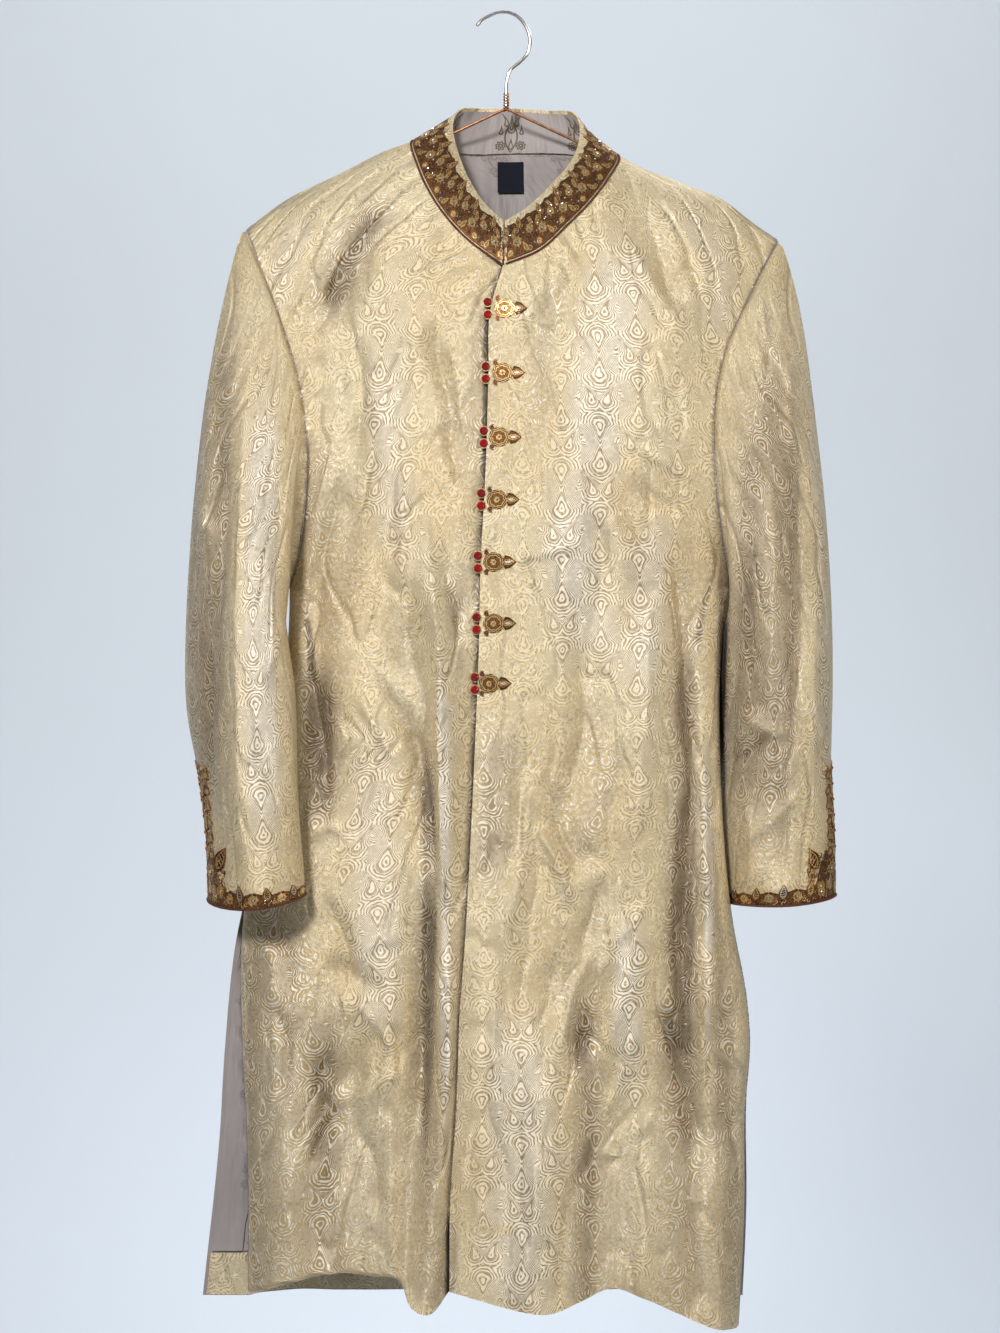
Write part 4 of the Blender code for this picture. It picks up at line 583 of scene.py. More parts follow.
def hermite(knots, values, at):
    """A smooth curve through the values at the knots, read at other places."""
    slopes = np.gradient(values, knots, axis=0)
    at = np.clip(at, knots[0], knots[-1])
    cell = np.clip(np.searchsorted(knots, at, side="right") - 1, 0, len(knots) - 2)
    length = (knots[cell + 1] - knots[cell])[..., None]
    t = (at - knots[cell])[..., None] / length
    return (
        (2 * t**3 - 3 * t**2 + 1) * values[cell]
        + (t**3 - 2 * t**2 + t) * slopes[cell] * length
        + (3 * t**2 - 2 * t**3) * values[cell + 1]
        + (t**3 - t**2) * slopes[cell + 1] * length
    )


def chords(points):
    """Length along the points, up to each of them."""
    return np.concatenate(([0], np.cumsum(np.linalg.norm(np.diff(points, axis=0), axis=1))))


def spline(points, shares):
    """Positions at shares of the length of a smooth curve through the points."""
    points = np.asarray(points, float)
    knots = chords(points)
    return hermite(knots, points, np.asarray(shares) * knots[-1])


def by_row(points, shares):
    """The same with every row of the table an equal share."""
    points = np.asarray(points, float)
    return hermite(np.linspace(0, 1, len(points)), points, np.asarray(shares))


def by_height(rows, heights):
    """A smooth value at each height (m) from a table of heights and values (mm)."""
    rows = np.asarray(rows, float) * MM
    return hermite(-rows[:, 0], rows[:, 1:], -np.asarray(heights))[..., 0]


def ease(value):
    value = np.clip(value, 0, 1)
    return value * value * (3 - 2 * value)


# The coat's surfaces as heights over the x, z plane

def edge_y(half, heights):
    """y of the edge of the front or the back at each height; they are one seam down to the slit."""
    rows = np.asarray(EDGE_Y[half], float) * MM
    return np.interp(-np.asarray(heights), -rows[:, 0], rows[:, 1])


def surface_y(half, x, z):
    """y of the front or the back: full on the flat of the body, falling to its side and shoulder seams."""
    side = np.where(x < 0, by_height(WIDTH["right"], z), by_height(WIDTH["left"], z))
    across = np.clip(np.abs(x) / side, 0, 1)
    ridge = np.interp(x / MM, SHOULDER_X, SHOULDER_Z) * MM
    power, (drop, shoulder_power) = ROUND[half], SHOULDER[half]
    fall = np.clip((ridge - z) / drop, 0, 1)
    rise = (1 - (1 - fall) ** shoulder_power) ** (1 / shoulder_power)
    share = (1 - across**power) ** (1 / power) * rise
    return edge_y(half, z) * (1 - share) + TOWARDS[half] * by_height(DEPTH[half], z) * share


def fold_rise(x, z, folds, crispness=2.0):
    """How far the folds lift the cloth at each x, z; a lower crispness gives a sharper ridge."""
    total = np.zeros_like(x)
    for top_x, top_z, middle_x, middle_z, foot_x, foot_z, half_width, height in folds:
        guide = (top_x, top_z), (middle_x, middle_z), (foot_x, foot_z)
        line = spline(guide, np.linspace(0, 1, FOLD_POINTS)) * MM
        nearest = np.full(x.shape, np.inf)
        along = np.zeros_like(x)
        for index, (start, run) in enumerate(zip(line[:-1], np.diff(line, axis=0))):
            share = np.clip(((x - start[0]) * run[0] + (z - start[1]) * run[1]) / np.dot(run, run), 0, 1)
            distance = (x - start[0] - share * run[0]) ** 2 + (z - start[1] - share * run[1]) ** 2
            closer = distance < nearest
            nearest = np.where(closer, distance, nearest)
            along = np.where(closer, (index + share) / (FOLD_POINTS - 1), along)
        taper = ease(along / FOLD_TAPER)
        if foot_z > FOLD_TO_HEM:
            taper = taper * ease((1 - along) / FOLD_TAPER)
        total = total + height * MM * taper * np.exp(-(nearest**0.5 / (half_width * MM)) ** crispness)
    return total


def cloth_rise(half, x, z):
    """The rise of a panel's folds and of its finer creases."""
    return fold_rise(x, z, FOLDS[half]) + CREASE_GAIN * fold_rise(x, z, CREASES[half], CRISP)


def ring_points(outer, front, inner, back, angles, crease):
    """A closed section through its outer, front, inner and back points."""
    outer, front, inner, back = (np.asarray(point, float) * MM for point in (outer, front, inner, back))
    middle, half = (outer + inner) / 2, (outer - inner) / 2
    cosine, sine = np.cos(angles), np.sin(angles)
    along = (np.sign(cosine) * np.abs(cosine) ** crease)[:, None]
    deep = (np.abs(sine) ** crease)[:, None]
    reach = np.where((sine >= 0)[:, None], front - middle, back - middle)
    return middle + along * half + deep * reach


# Panels of the body

def neck_line(side):
    """The neck seam of one side, from the centre back to the centre front, and its share at the shoulder."""
    table = np.asarray(NECK[side], float) * MM
    x, z = table[:, 0], table[:, 1]
    y = np.where(np.arange(len(x)) < NECK_SHOULDER, surface_y("back", x, z), surface_y("front", x, z))
    y[NECK_SHOULDER] = 0
    points = np.column_stack((x, y, z))
    lengths = chords(points)
    return points, lengths[NECK_SHOULDER] / lengths[-1]


def shoulder_line(side):
    """The shoulder seam from the neck to the sleeve: x, z."""
    points = np.column_stack((SHOULDER_X, SHOULDER_Z)) * MM
    return points[NECK_RIDGE[0]::-1] if side == "right" else points[NECK_RIDGE[1]:]


def steps(cells, fine):
    return np.linspace(0, 1, cells * fine + 1)


def joined(pieces):
    """Rows of points end to end, without the repeated ends."""
    return np.concatenate([piece[:-1] for piece in pieces[:-1]] + [pieces[-1]])


def fill(top, bottom, inner, outer):
    """The x, z of a patch between its four edges."""
    u = np.linspace(0, 1, len(top))[None, :, None]
    v = np.linspace(0, 1, len(inner))[:, None, None]
    corners = (
        (1 - u) * (1 - v) * top[0] + u * (1 - v) * top[-1] + (1 - u) * v * bottom[0] + u * v * bottom[-1]
    )
    across = (1 - u) * inner[:, None] + u * outer[:, None]
    down = (1 - v) * top[None] + v * bottom[None]
    return across + down - corners


def outer_edge(side, half, rows, hem):
    """The armhole and the side edge below it: x, y, z on the fine rows."""
    sign = SIGN[side]
    upper = spline(ARMHOLES[side, half], steps(ARMHOLE_ROWS[half], FINE[1])) * MM
    z = upper[-1, 2] + (hem - upper[-1, 2]) * steps(rows - ARMHOLE_ROWS[half], FINE[1])
    x = sign * by_height(WIDTH[side], z)
    if half == "back":
        x = x + sign * BACK_FLARE[side] * np.clip((SLIT_TOP - z) / (SLIT_TOP - hem), 0, 1)
    x += upper[-1, 0] - x[0]
    return joined([upper, np.column_stack((x, edge_y(half, z), z))])


def drape(half, xz, edge, neck):
    """Puts a patch of x, z on the body's surface, with its folds, and fits it to its outer and neck edges."""
    x, z = xz[..., 0], xz[..., 1]
    rows, columns = x.shape
    v = np.linspace(0, 1, rows)[:, None]
    u = np.linspace(0, 1, columns)[None, :]
    y = surface_y(half, x, z)
    gap = edge[:, 1] - y[:, -1]
    inside = ease((1 - u) / SOFT_FIT)
    gap = gap[:, None] * (1 - inside) + softened(gap, SOFT_ROUNDS)[:, None] * inside
    y = y + gap * ease((u - 1 + SIDE_FIT) / SIDE_FIT)
    calm = ease(np.abs(x - edge[:, :1]) / SEAM_CALM) * ease(v * (rows - 1) / FINE[1] / NECK_CALM)
    y = y + TOWARDS[half] * calm * cloth_rise(half, x, z)
    share = np.zeros(columns)
    share[: len(neck)] = neck[:, 1] - y[0, : len(neck)]
    below = ease(v / NECK_SOFT)
    share = share[None, :] * (1 - below) + softened(share, SOFT_ROUNDS // 3)[None, :] * below
    y = y + share * (1 - ease(v / NECK_FIT))
    return np.stack((x, y, z), axis=2)


def softened(values, rounds):
    """The same row of values with its corners smoothed away."""
    for _ in range(rounds):
        values = np.convolve(np.pad(values, 1, mode="edge"), (0.25, 0.5, 0.25), "valid")
    return values


def behind_seam(half, points):
    """Keeps a panel on its own side of the shoulder and side seams, down to the slit."""
    x, y, z = points[..., 0], points[..., 1], points[..., 2]
    towards = TOWARDS[half]
    edge = edge_y(half, z) + towards * HALF_SEAM
    y = np.where(z > SLIT_TOP - SEAM_OPENS, towards * np.maximum(towards * y, towards * edge), y)
    return np.stack((x, y, z), axis=2)


# Cloth grids: rows and columns of points, finer than the solids' own

def placket_x(z):
    rows = [(height, across) for across, height in PLACKET]
    return by_height(rows, z)


def front_panel(side):
    """The outer surface of one front, its rows from the neck and shoulder to the hem."""
    cells, rows = FRONT_CELLS
    neck, shoulder_share = neck_line(side)
    lap_cells, neck_cells, shoulder_cells = FRONT_TOP_CELLS[side]
    shares = 1 - (1 - shoulder_share) * steps(neck_cells, FINE[0])
    seam = spline(neck, shares)
    hem = np.asarray(HEM[side], float) * MM
    hem_parts = [spline(hem, steps(cells - lap_cells, FINE[0]))]
    if side == "right":
        other, _ = neck_line("left")
        lap = spline(other, 1 - LAP_WIDTH / chords(other)[-1] * steps(lap_cells, FINE[0])[::-1])
        seam = joined([lap, seam])
        lap_hem = np.linspace(hem[0] + (LAP_WIDTH, 0), hem[0], lap_cells * FINE[0] + 1)
        hem_parts.insert(0, lap_hem)
    top = joined([seam[:, ::2], spline(shoulder_line(side), steps(shoulder_cells, FINE[0]))])
    bottom = joined(hem_parts)
    edge = outer_edge(side, "front", rows, bottom[-1, 1])
    bottom[-1] = edge[-1, ::2]
    z = np.linspace(top[0, 1], bottom[0, 1], rows * FINE[1] + 1)
    inner = np.column_stack((placket_x(z) + (LAP_WIDTH if side == "right" else 0), z))
    inner += np.linspace(top[0] - inner[0], bottom[0] - inner[-1], len(z))
    xz = relaxed(fill(top, bottom, inner, edge[:, ::2]))
    points = drape("front", xz, edge, seam)
    if side == "right":
        past = xz[..., 0] - placket_x(xz[..., 1])
        points[..., 1] += LAP_SHIFT * ease((past + LAP_FADE) / LAP_FADE)
        points[..., 1] += PLACKET_GROOVE * np.exp(-((past / PLACKET_SHADE) ** 2))
    return behind_seam("front", points)


def back_panel(side):
    """The outer surface of one half of the back, from the centre seam outwards."""
    cells, rows = BACK_CELLS
    neck_cells, shoulder_cells = BACK_TOP_CELLS
    neck, shoulder_share = neck_line(side)
    seam = spline(neck, shoulder_share * steps(neck_cells, FINE[0]))
    top = joined([seam[:, ::2], spline(shoulder_line(side), steps(shoulder_cells, FINE[0]))])
    edge = outer_edge(side, "back", rows, BACK_HEM_Z)
    centre = (BACK_CENTRE_X, BACK_HEM_Z)
    bottom = np.linspace(centre, edge[-1, ::2], cells * FINE[0] + 1)
    z = np.linspace(top[0, 1], BACK_HEM_Z, rows * FINE[1] + 1)
    inner = np.column_stack((np.linspace(top[0, 0], BACK_CENTRE_X, len(z)), z))
    xz = relaxed(fill(top, bottom, inner, edge[:, ::2]))
    points = drape("back", xz, edge, seam)
    points[:, 0, 0] += SIGN[side] * HALF_SEAM
    return behind_seam("back", points)


def relaxed(xz):
    """Evens out a patch inside its fixed edges, coarse to fine, so that no cell folds over."""
    for stride in RELAX_STRIDES:
        part = xz[::stride, ::stride].copy()
        for _ in range(RELAX_ROUNDS):
            across = (part[1:-1, 2:] - part[1:-1, :-2]) / 2
            down = (part[2:, 1:-1] - part[:-2, 1:-1]) / 2
            a = np.sum(down * down, axis=2, keepdims=True)
            b = np.sum(across * down, axis=2, keepdims=True)
            c = np.sum(across * across, axis=2, keepdims=True)
            slanted = part[2:, 2:] - part[2:, :-2] - part[:-2, 2:] + part[:-2, :-2]
            beside = a * (part[1:-1, 2:] + part[1:-1, :-2]) + c * (part[2:, 1:-1] + part[:-2, 1:-1])
            part[1:-1, 1:-1] = (beside - b * slanted / 2) / (2 * (a + c))
        rows, columns = np.meshgrid(*[np.arange(count) / stride for count in xz.shape[:2]], indexing="ij")
        finer = sampled(part, rows, columns)
        xz = xz.copy()
        xz[1:-1, 1:-1] = finer[1:-1, 1:-1]
    return xz


def sampled(grid, row, column):
    """Points of a grid at rows and columns that need not be whole."""
    i = np.clip(np.floor(row).astype(int), 0, grid.shape[0] - 2)
    j = np.clip(np.floor(column).astype(int), 0, grid.shape[1] - 2)
    a, b = (row - i)[..., None], (column - j)[..., None]
    low = grid[i, j] * (1 - b) + grid[i, j + 1] * b
    high = grid[i + 1, j] * (1 - b) + grid[i + 1, j + 1] * b
    return low * (1 - a) + high * a


def sleeve_angles():
    """Angles round a sleeve, spaced as the front's and the back's points along the armhole."""
    front = np.linspace(0, math.pi, ARMHOLE_ROWS["front"] * FINE[1] + 1)
    back = np.linspace(math.pi, TURN, ARMHOLE_ROWS["back"] * FINE[1] + 1)
    return np.concatenate((front, back[1:-1]))


def sleeve_grid(side):
    """The rings of a sleeve, from the armhole to the cuff."""
    table = np.asarray(SLEEVE[side], float)
    shares = np.linspace(0, 1, SLEEVE_RINGS * SLEEVE_FINE + 1) ** SLEEVE_SPACING
    guides = [by_row(table[:, guide], shares) for guide in range(4)]
    if side == "left":
        guides[2] = guides[2] - np.outer(np.interp(shares, *SLEEVE_TUCKS), (1, 0, 0))
    angles = sleeve_angles()
    rings = []
    for index, share in enumerate(shares):
        crease = 1 + (SLEEVE_CREASE - 1) * ease(share / CREASE_SHARE)
        rings.append(ring_points(*[guide[index] for guide in guides], angles, crease))
    rings = np.array(rings)
    front = spline(ARMHOLES[side, "front"], steps(ARMHOLE_ROWS["front"], FINE[1])) * MM
    back = spline(ARMHOLES[side, "back"], steps(ARMHOLE_ROWS["back"], FINE[1])[::-1]) * MM
    armhole = np.concatenate((front, back[1:-1]))
    fade = 1 - ease(shares / CAP_FADE)
    rings = rings + (armhole - rings[0]) * fade[:, None, None]
    away = rings[1] - rings[0]
    rings[0] += away / np.linalg.norm(away, axis=1, keepdims=True) * SLEEVE_START
    inset = np.interp(np.arange(len(rings)) / SLEEVE_FINE, range(len(SLEEVE_INSETS) + 1), (*SLEEVE_INSETS, 0))
    inwards = rings.mean(axis=1, keepdims=True) - rings
    rings = rings + inwards / np.linalg.norm(inwards, axis=2, keepdims=True) * inset[:, None, None]
    normals = ring_normals(rings)
    facing = np.clip(np.abs(normals[..., 1]) * 1.6, 0, 1) * ease(shares / CREASE_SHARE)[:, None]
    rise = CREASE_GAIN * fold_rise(rings[..., 0], rings[..., 2], SLEEVE_CREASES[side], CRISP)
    return rings + normals * (facing * rise)[..., None]


def collar_grid(side):
    """The outer surface of one half of the stand collar, from the centre back to the front."""
    back_cells, front_cells, cells_up = COLLAR_CELLS
    top_table = np.asarray(COLLAR_TOP[side], float) * MM
    lengths = chords(top_table)
    neck, neck_shoulder = neck_line(side)
    ends = {}
    for name, points, shoulder in (
        ("foot", neck, neck_shoulder),
        ("head", top_table, lengths[NECK_SHOULDER] / lengths[-1]),
    ):
        trim = COLLAR_FRONT_TRIM / chords(points)[-1]
        back = np.linspace(0, shoulder, back_cells * COLLAR_FINE + 1)
        front = np.linspace(shoulder, 1 - trim, front_cells * COLLAR_FINE + 1)
        ends[name] = spline(points, joined([back, front]))
    rise = ends["head"] - ends["foot"]
    height = np.linalg.norm(rise, axis=1)
    shares = np.linspace(0, 1, cells_up * COLLAR_FINE + 1)[:, None]
    shares = shares + (1 - shares) * COLLAR_LIFT / height[None, :]
    flat = ends["foot"][None] + rise[None] * shares[..., None]
    bow = outward(flat, NECK_AXIS) * (COLLAR_BULGE * 4 * shares * (1 - shares))[..., None]
    grid = flat + bow
    grid[:, 0, 0] += COLLAR_BACK_TRIM * SIGN[side]
    return grid


# Meshes

def outward(grid, away, ring=False):
    """Unit normals of a grid's points, on the side that faces away from the given point or points."""
    if ring:
        padded = np.concatenate((grid[:, -1:], grid, grid[:, :1]), axis=1)
        across = (padded[:, 2:] - padded[:, :-2]) / 2
    else:
        across = np.gradient(grid, axis=1)
    down = np.gradient(grid, axis=0)
    normals = np.cross(across, down)
    normals /= np.linalg.norm(normals, axis=2, keepdims=True)
    facing = np.sum(normals * (grid - away))
    return normals if facing > 0 else -normals


def ring_normals(grid):
    return outward(grid, grid.mean(axis=1, keepdims=True), ring=True)


def grid_faces(indices):
    """The four-cornered faces between a grid's points."""
    corners = (indices[:-1, :-1], indices[1:, :-1], indices[1:, 1:], indices[:-1, 1:])
    return np.column_stack([corner.ravel() for corner in corners])


def surface_tree(grid):
    """A grid made ready for rays to be cast on it."""
    faces = grid_faces(np.arange(grid.shape[0] * grid.shape[1]).reshape(grid.shape[:2]))
    return BVHTree.FromPolygons(grid.reshape(-1, 3).tolist(), faces.tolist())


def flat_coordinates(grid):
    """How far each point lies across and up the cloth before it was hung, in metres."""
    across = np.linalg.norm(np.diff(grid, axis=1), axis=2)
    across = np.concatenate((np.zeros((len(grid), 1)), np.cumsum(across, axis=1)), axis=1)
    across -= across[:, :1] - grid[:, :1, 0]
    down = np.linalg.norm(np.diff(grid, axis=0), axis=2)
    down = np.concatenate((np.zeros((1, grid.shape[1])), np.cumsum(down, axis=0)))
    base = len(grid) // 3
    up = grid[base, :, 2][None, :] - (down - down[base][None, :])
    return np.stack((across, up), axis=2)


def mean_rise(grid):
    """How far each row lies from the first, as the mean of its points."""
    return np.concatenate(([0], np.cumsum(np.linalg.norm(np.diff(grid, axis=0), axis=2).mean(axis=1))))


def strip_coordinates(grid):
    """The same for a narrow strip: along it, and up from its first row."""
    up = mean_rise(grid)
    along = chords(grid[len(grid) // 2])
    return np.stack(np.broadcast_arrays(along[None, :], up[:, None]), axis=2)


def linked(name, data):
    """A new object in the scene."""
    obj = bpy.data.objects.new(name, data)
    bpy.context.scene.collection.objects.link(obj)
    return obj


def new_object(name, mesh, materials):
    for finish in materials:
        mesh.materials.append(finish)
    obj = linked(name, mesh)
    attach(obj, "root")
    return obj


def shell(name, outer, normals, thickness, materials, flat=None, painted_light=None, ring=False):
    """A thin closed wall inwards from a grid, its inner face in the second material."""
    rows, columns = outer.shape[:2]
    inner = outer - normals * thickness
    indices = np.arange(rows * columns).reshape(rows, columns)
    if ring:
        indices = np.column_stack((indices, indices[:, 0]))
    under = indices + rows * columns
    rims = [np.stack((indices[0], under[0])), np.stack((under[-1], indices[-1]))]
    if not ring:
        rims += [np.stack((under[:, 0], indices[:, 0])), np.stack((indices[:, -1], under[:, -1]))]
    parts = [grid_faces(indices), grid_faces(under)[:, ::-1]] + [grid_faces(rim) for rim in rims]
    faces = np.concatenate(parts)
    points = np.concatenate((outer.reshape(-1, 3), inner.reshape(-1, 3)))
    first = faces[: len(parts[0])]
    direction = np.cross(points[first[:, 1]] - points[first[:, 0]], points[first[:, 2]] - points[first[:, 0]])
    if np.sum(direction * normals.reshape(-1, 3)[first[:, 0]]) < 0:
        faces = faces[:, ::-1]
    mesh = bpy.data.meshes.new(name)
    mesh.from_pydata(points.tolist(), [], faces.tolist())
    mesh.shade_smooth()
    mesh.set_sharp_from_angle(angle=math.radians(SHARP_DEGREES))
    finish = np.zeros(len(faces), int)
    finish[len(parts[0]) : len(parts[0]) + len(parts[1])] = len(materials) - 1
    mesh.polygons.foreach_set("material_index", finish)
    flat = flat_coordinates(outer) if flat is None else flat
    corner = np.empty(len(mesh.loops), int)
    mesh.loops.foreach_get("vertex_index", corner)
    place = np.concatenate((flat.reshape(-1, 2), flat.reshape(-1, 2)))[corner]
    if ring:
        place = unwrapped(place, corner, rows, columns, flat)
    mesh.uv_layers.new(name="cloth").data.foreach_set("uv", place.ravel())
    # Painted shade (above 0) and painted highlight (below 0) for the cloth's colour, kept on the points of
    # both faces
    depth = np.zeros((rows, columns)) if painted_light is None else painted_light
    shade = mesh.attributes.new("painted_light", "FLOAT", "POINT")
    shade.data.foreach_set("value", np.concatenate((depth.ravel(), depth.ravel())))
    return new_object(name, mesh, materials)


def unwrapped(place, corner, rows, columns, flat):
    """Puts the far side of the cells that close a ring past its last column, not back at its first."""
    place = place.copy()
    turn = flat[:, -1, 0] - flat[:, 0, 0]
    turn = turn * columns / (columns - 1)
    corner = corner % (rows * columns)
    quads = corner.reshape(-1, 4)
    column, row = quads % columns, quads // columns
    closing = (column.max(axis=1) == columns - 1) & (column.min(axis=1) == 0)
    first = closing[:, None] & (column == 0)
    shifted = place.reshape(-1, 4, 2)
    shifted[..., 0] += np.where(first, turn[row], 0)
    return shifted.reshape(-1, 2)


# Embroidery: tubes and beads laid on a carrier

class Stitches:
    """Gathers tubes and beads by material, then makes them one joined mesh."""

    def __init__(self):
        self.points, self.faces, self.slots = [], [], []
        self.count = 0

    def add(self, points, faces, slot):
        self.faces += [tuple(corner + self.count for corner in face) for face in faces]
        self.slots += [slot] * len(faces)
        self.points.append(points)
        self.count += len(points)

    def tube(self, path, normals, radius, slot, sides=4, closed=False):
        """A tube along the path; the normals keep its section from turning."""
        path, normals = np.asarray(path, float), np.asarray(normals, float)
        if closed:
            ahead = np.roll(path, -1, axis=0) - np.roll(path, 1, axis=0)
        else:
            ahead = np.gradient(path, axis=0)
        ahead /= np.linalg.norm(ahead, axis=1, keepdims=True) + 1e-12
        across = np.cross(ahead, normals)
        across /= np.linalg.norm(across, axis=1, keepdims=True) + 1e-12
        up = np.cross(across, ahead)
        turn = np.linspace(0, TURN, sides, endpoint=False) + math.pi / sides
        radius = np.broadcast_to(radius, (len(path),))[:, None, None]
        ring = across[:, None] * np.cos(turn)[None, :, None] + up[:, None] * np.sin(turn)[None, :, None]
        points = (path[:, None] + ring * radius).reshape(-1, 3)
        faces = []
        for row in range(len(path) if closed else len(path) - 1):
            here, there = row * sides, (row + 1) % len(path) * sides
            for side, after in ring_sides(sides):
                faces.append((here + side, here + after, there + after, there + side))
        if not closed:
            faces += [tuple(range(sides))[::-1], tuple(range(len(points) - sides, len(points)))]
        self.add(points, faces, slot)

    def bead(self, middle, normal, radius, slot, sides=6):
        """A faceted bead: a belt, a smaller girdle above it, and a tip."""
        belt = round_about(normal, np.linspace(0, TURN, sides, endpoint=False))
        normal = np.asarray(normal, float)
        points = np.concatenate((
            middle + belt * radius,
            middle + belt * radius * GIRDLE + normal * radius * BEAD_RISE * GIRDLE_RISE,
            [middle + normal * radius * BEAD_RISE],
        ))
        tip = 2 * sides
        faces = []
        for side, after in ring_sides(sides):
            faces.append((side, after, sides + after, sides + side))
            faces.append((sides + side, sides + after, tip))
        faces.append(tuple(range(sides))[::-1])
        self.add(points, faces, slot)

    def bead_on(self, carrier, s, t, lift, radius, slot, sides=6):
        """A bead at a place on a carrier, lifted by so many coils' radii."""
        point, normal = carrier.at(s, t, WIRE * lift)
        self.bead(point[0], normal[0], radius, slot, sides)

    def stone(self, middle, normal, radius, slot):
        """A brilliant: a back cone, a belt, a crown of facets and a flat table."""
        sides, count = STONE_SIDES, len(STONE_LEVELS)
        points = []
        for reach, rise, shift in STONE_LEVELS:
            ring = round_about(normal, (np.arange(sides) + shift) * TURN / sides)
            points.append(middle + ring * radius * reach + np.asarray(normal) * radius * rise)
        faces = []
        for level in range(count - 1):
            here, there = level * sides, (level + 1) * sides
            for side, after in ring_sides(sides):
                faces.append((here + side, here + after, there + side))
                faces.append((here + after, there + after, there + side))
        faces.append(tuple(range(sides))[::-1])
        faces.append(tuple(range((count - 1) * sides, count * sides)))
        self.add(np.concatenate(points), faces, slot)

    def finish(self, name, materials, slot):
        mesh = bpy.data.meshes.new(name)
        mesh.from_pydata(np.concatenate(self.points).tolist(), [], self.faces)
        mesh.polygons.foreach_set("material_index", self.slots)
        mesh.polygons.foreach_set("use_smooth", [False] * len(self.faces))
        return new_object(name, mesh, materials)


def ring_sides(sides):
    """Each side of a ring with the next."""
    return [(side, (side + 1) % sides) for side in range(sides)]


def round_about(normal, turn):
    """Directions round a normal, one for each turn."""
    normal = np.asarray(normal, float)
    helper = np.array((0.0, 0.0, 1.0)) if abs(normal[2]) < 0.9 else np.array((1.0, 0.0, 0.0))
    across = np.cross(helper, normal)
    across /= np.linalg.norm(across)
    return np.cos(turn)[:, None] * across + np.sin(turn)[:, None] * np.cross(normal, across)


class Carrier:
    """A strip of cloth that takes the embroidery: s runs along it and t up it, both in metres."""

    def __init__(self, grid, normals, ring=False):
        """Rows of the grid run up the strip and columns along it."""
        if ring:
            grid = np.concatenate((grid, grid[:, :1]), axis=1)
            normals = np.concatenate((normals, normals[:, :1]), axis=1)
        self.grid, self.normals, self.ring = grid, normals, ring
        self.along = chords(grid[0])
        self.length = self.along[-1]
        self.up = mean_rise(grid)
        self.height = self.up[-1]

    def at(self, s, t, h=0.0):
        """Points and normals at s, t and h above the cloth."""
        s, t, h = np.broadcast_arrays(np.atleast_1d(s).astype(float), t, h)
        rows, columns = self.grid.shape[:2]
        s = s % self.length if self.ring else np.clip(s, 0, self.length)
        column = np.interp(s, self.along, np.arange(columns))
        row = np.interp(t, self.up, np.arange(rows))
        points, normals = (sampled(field, row, column) for field in (self.grid, self.normals))
        return points + normals * h[:, None], normals

    def patch(self, s, t, h):
        """A grid of points and normals over arrays of s along and t up."""
        rows, columns = np.broadcast_shapes(s.shape, t.shape)
        s, t = np.broadcast_to(s, (rows, columns)), np.broadcast_to(t, (rows, columns))
        points, normals = self.at(s.ravel(), t.ravel(), h)
        return points.reshape(rows, columns, 3), normals.reshape(rows, columns, 3)


def cuff_carrier(grid):
    """The foot of a sleeve's grid, from its cuff's edge upwards."""
    return Carrier(*(field[::-1][:CUFF_ROWS] for field in (grid, ring_normals(grid))), ring=True)


class Seen:
    """A cuff's carrier on which s is, for the most part, the width seen from the front."""

    def __init__(self, carrier):
        self.carrier = carrier
        half = len(carrier.grid[0]) // 4
        across = np.abs(carrier.grid[0, :half, 0] - carrier.grid[0, 0, 0])
        self.seen = np.maximum.accumulate(across) + np.arange(half) * 1e-9
        self.along = carrier.along[:half]

    def real(self, s):
        s = np.asarray(s, float)
        wide = np.interp(s, self.seen, self.along)
        return np.where(s < 0, s, s + (wide - s) * SEEN_SHARE)

    def at(self, s, t, h=0.0):
        return self.carrier.at(self.real(s), t, h)


class Drop:
    """Takes embroidery that is dropped onto a panel along Y, round a centre."""

    def __init__(self, tree, x, z):
        self.tree, self.x, self.z = tree, x, z
        hit = tree.ray_cast(Vector((x, -1, z)), Vector((0, 1, 0)))
        self.middle = hit[0]
        self.normal = np.array(hit[1]) if hit[1][1] < 0 else -np.array(hit[1])

    def at(self, s, t, h=0.0):
        s, t, h = np.broadcast_arrays(np.atleast_1d(s).astype(float), t, h)
        points = []
        for across, up in zip(s, t):
            place, *_ = self.tree.ray_cast(Vector((self.x + across, -1, self.z + up)), Vector((0, 1, 0)))
            points.append(tuple(place or (self.x + across, self.middle[1], self.z + up)))
        return np.array(points) + self.normal * h[:, None], np.tile(self.normal, (len(points), 1))


def stitched_line(work, carrier, s, t, radius, slot, lift, closed=False):
    """A coil along s, t: its radius and its lift in coils' radii."""
    points, normals = carrier.at(s, t, WIRE * radius * 0.6 + WIRE * lift)
    work.tube(points, normals, WIRE * radius, slot, closed=closed)


def curled_line(work, carrier, s, t, reach, angle, *look, **more):
    """A coil round s, t at the reach and angle given."""
    stitched_line(work, carrier, s + reach * np.cos(angle), t + reach * np.sin(angle), *look, **more)


def backing(work, carrier, s, t):
    """A dark patch inside an outline, that the coils of a motif are laid on."""
    rim, _ = carrier.at(s, t, WIRE * 0.9)
    foot, _ = carrier.at(s, t, 0.0)
    count = len(s)
    after = np.roll(np.arange(count), -1)
    faces = [(index, step, count + step, count + index) for index, step in enumerate(after)]
    faces += [(count + index, count + step, 2 * count) for index, step in enumerate(after)]
    work.add(np.concatenate((foot, rim, [rim.mean(axis=0)])), faces, DARK)


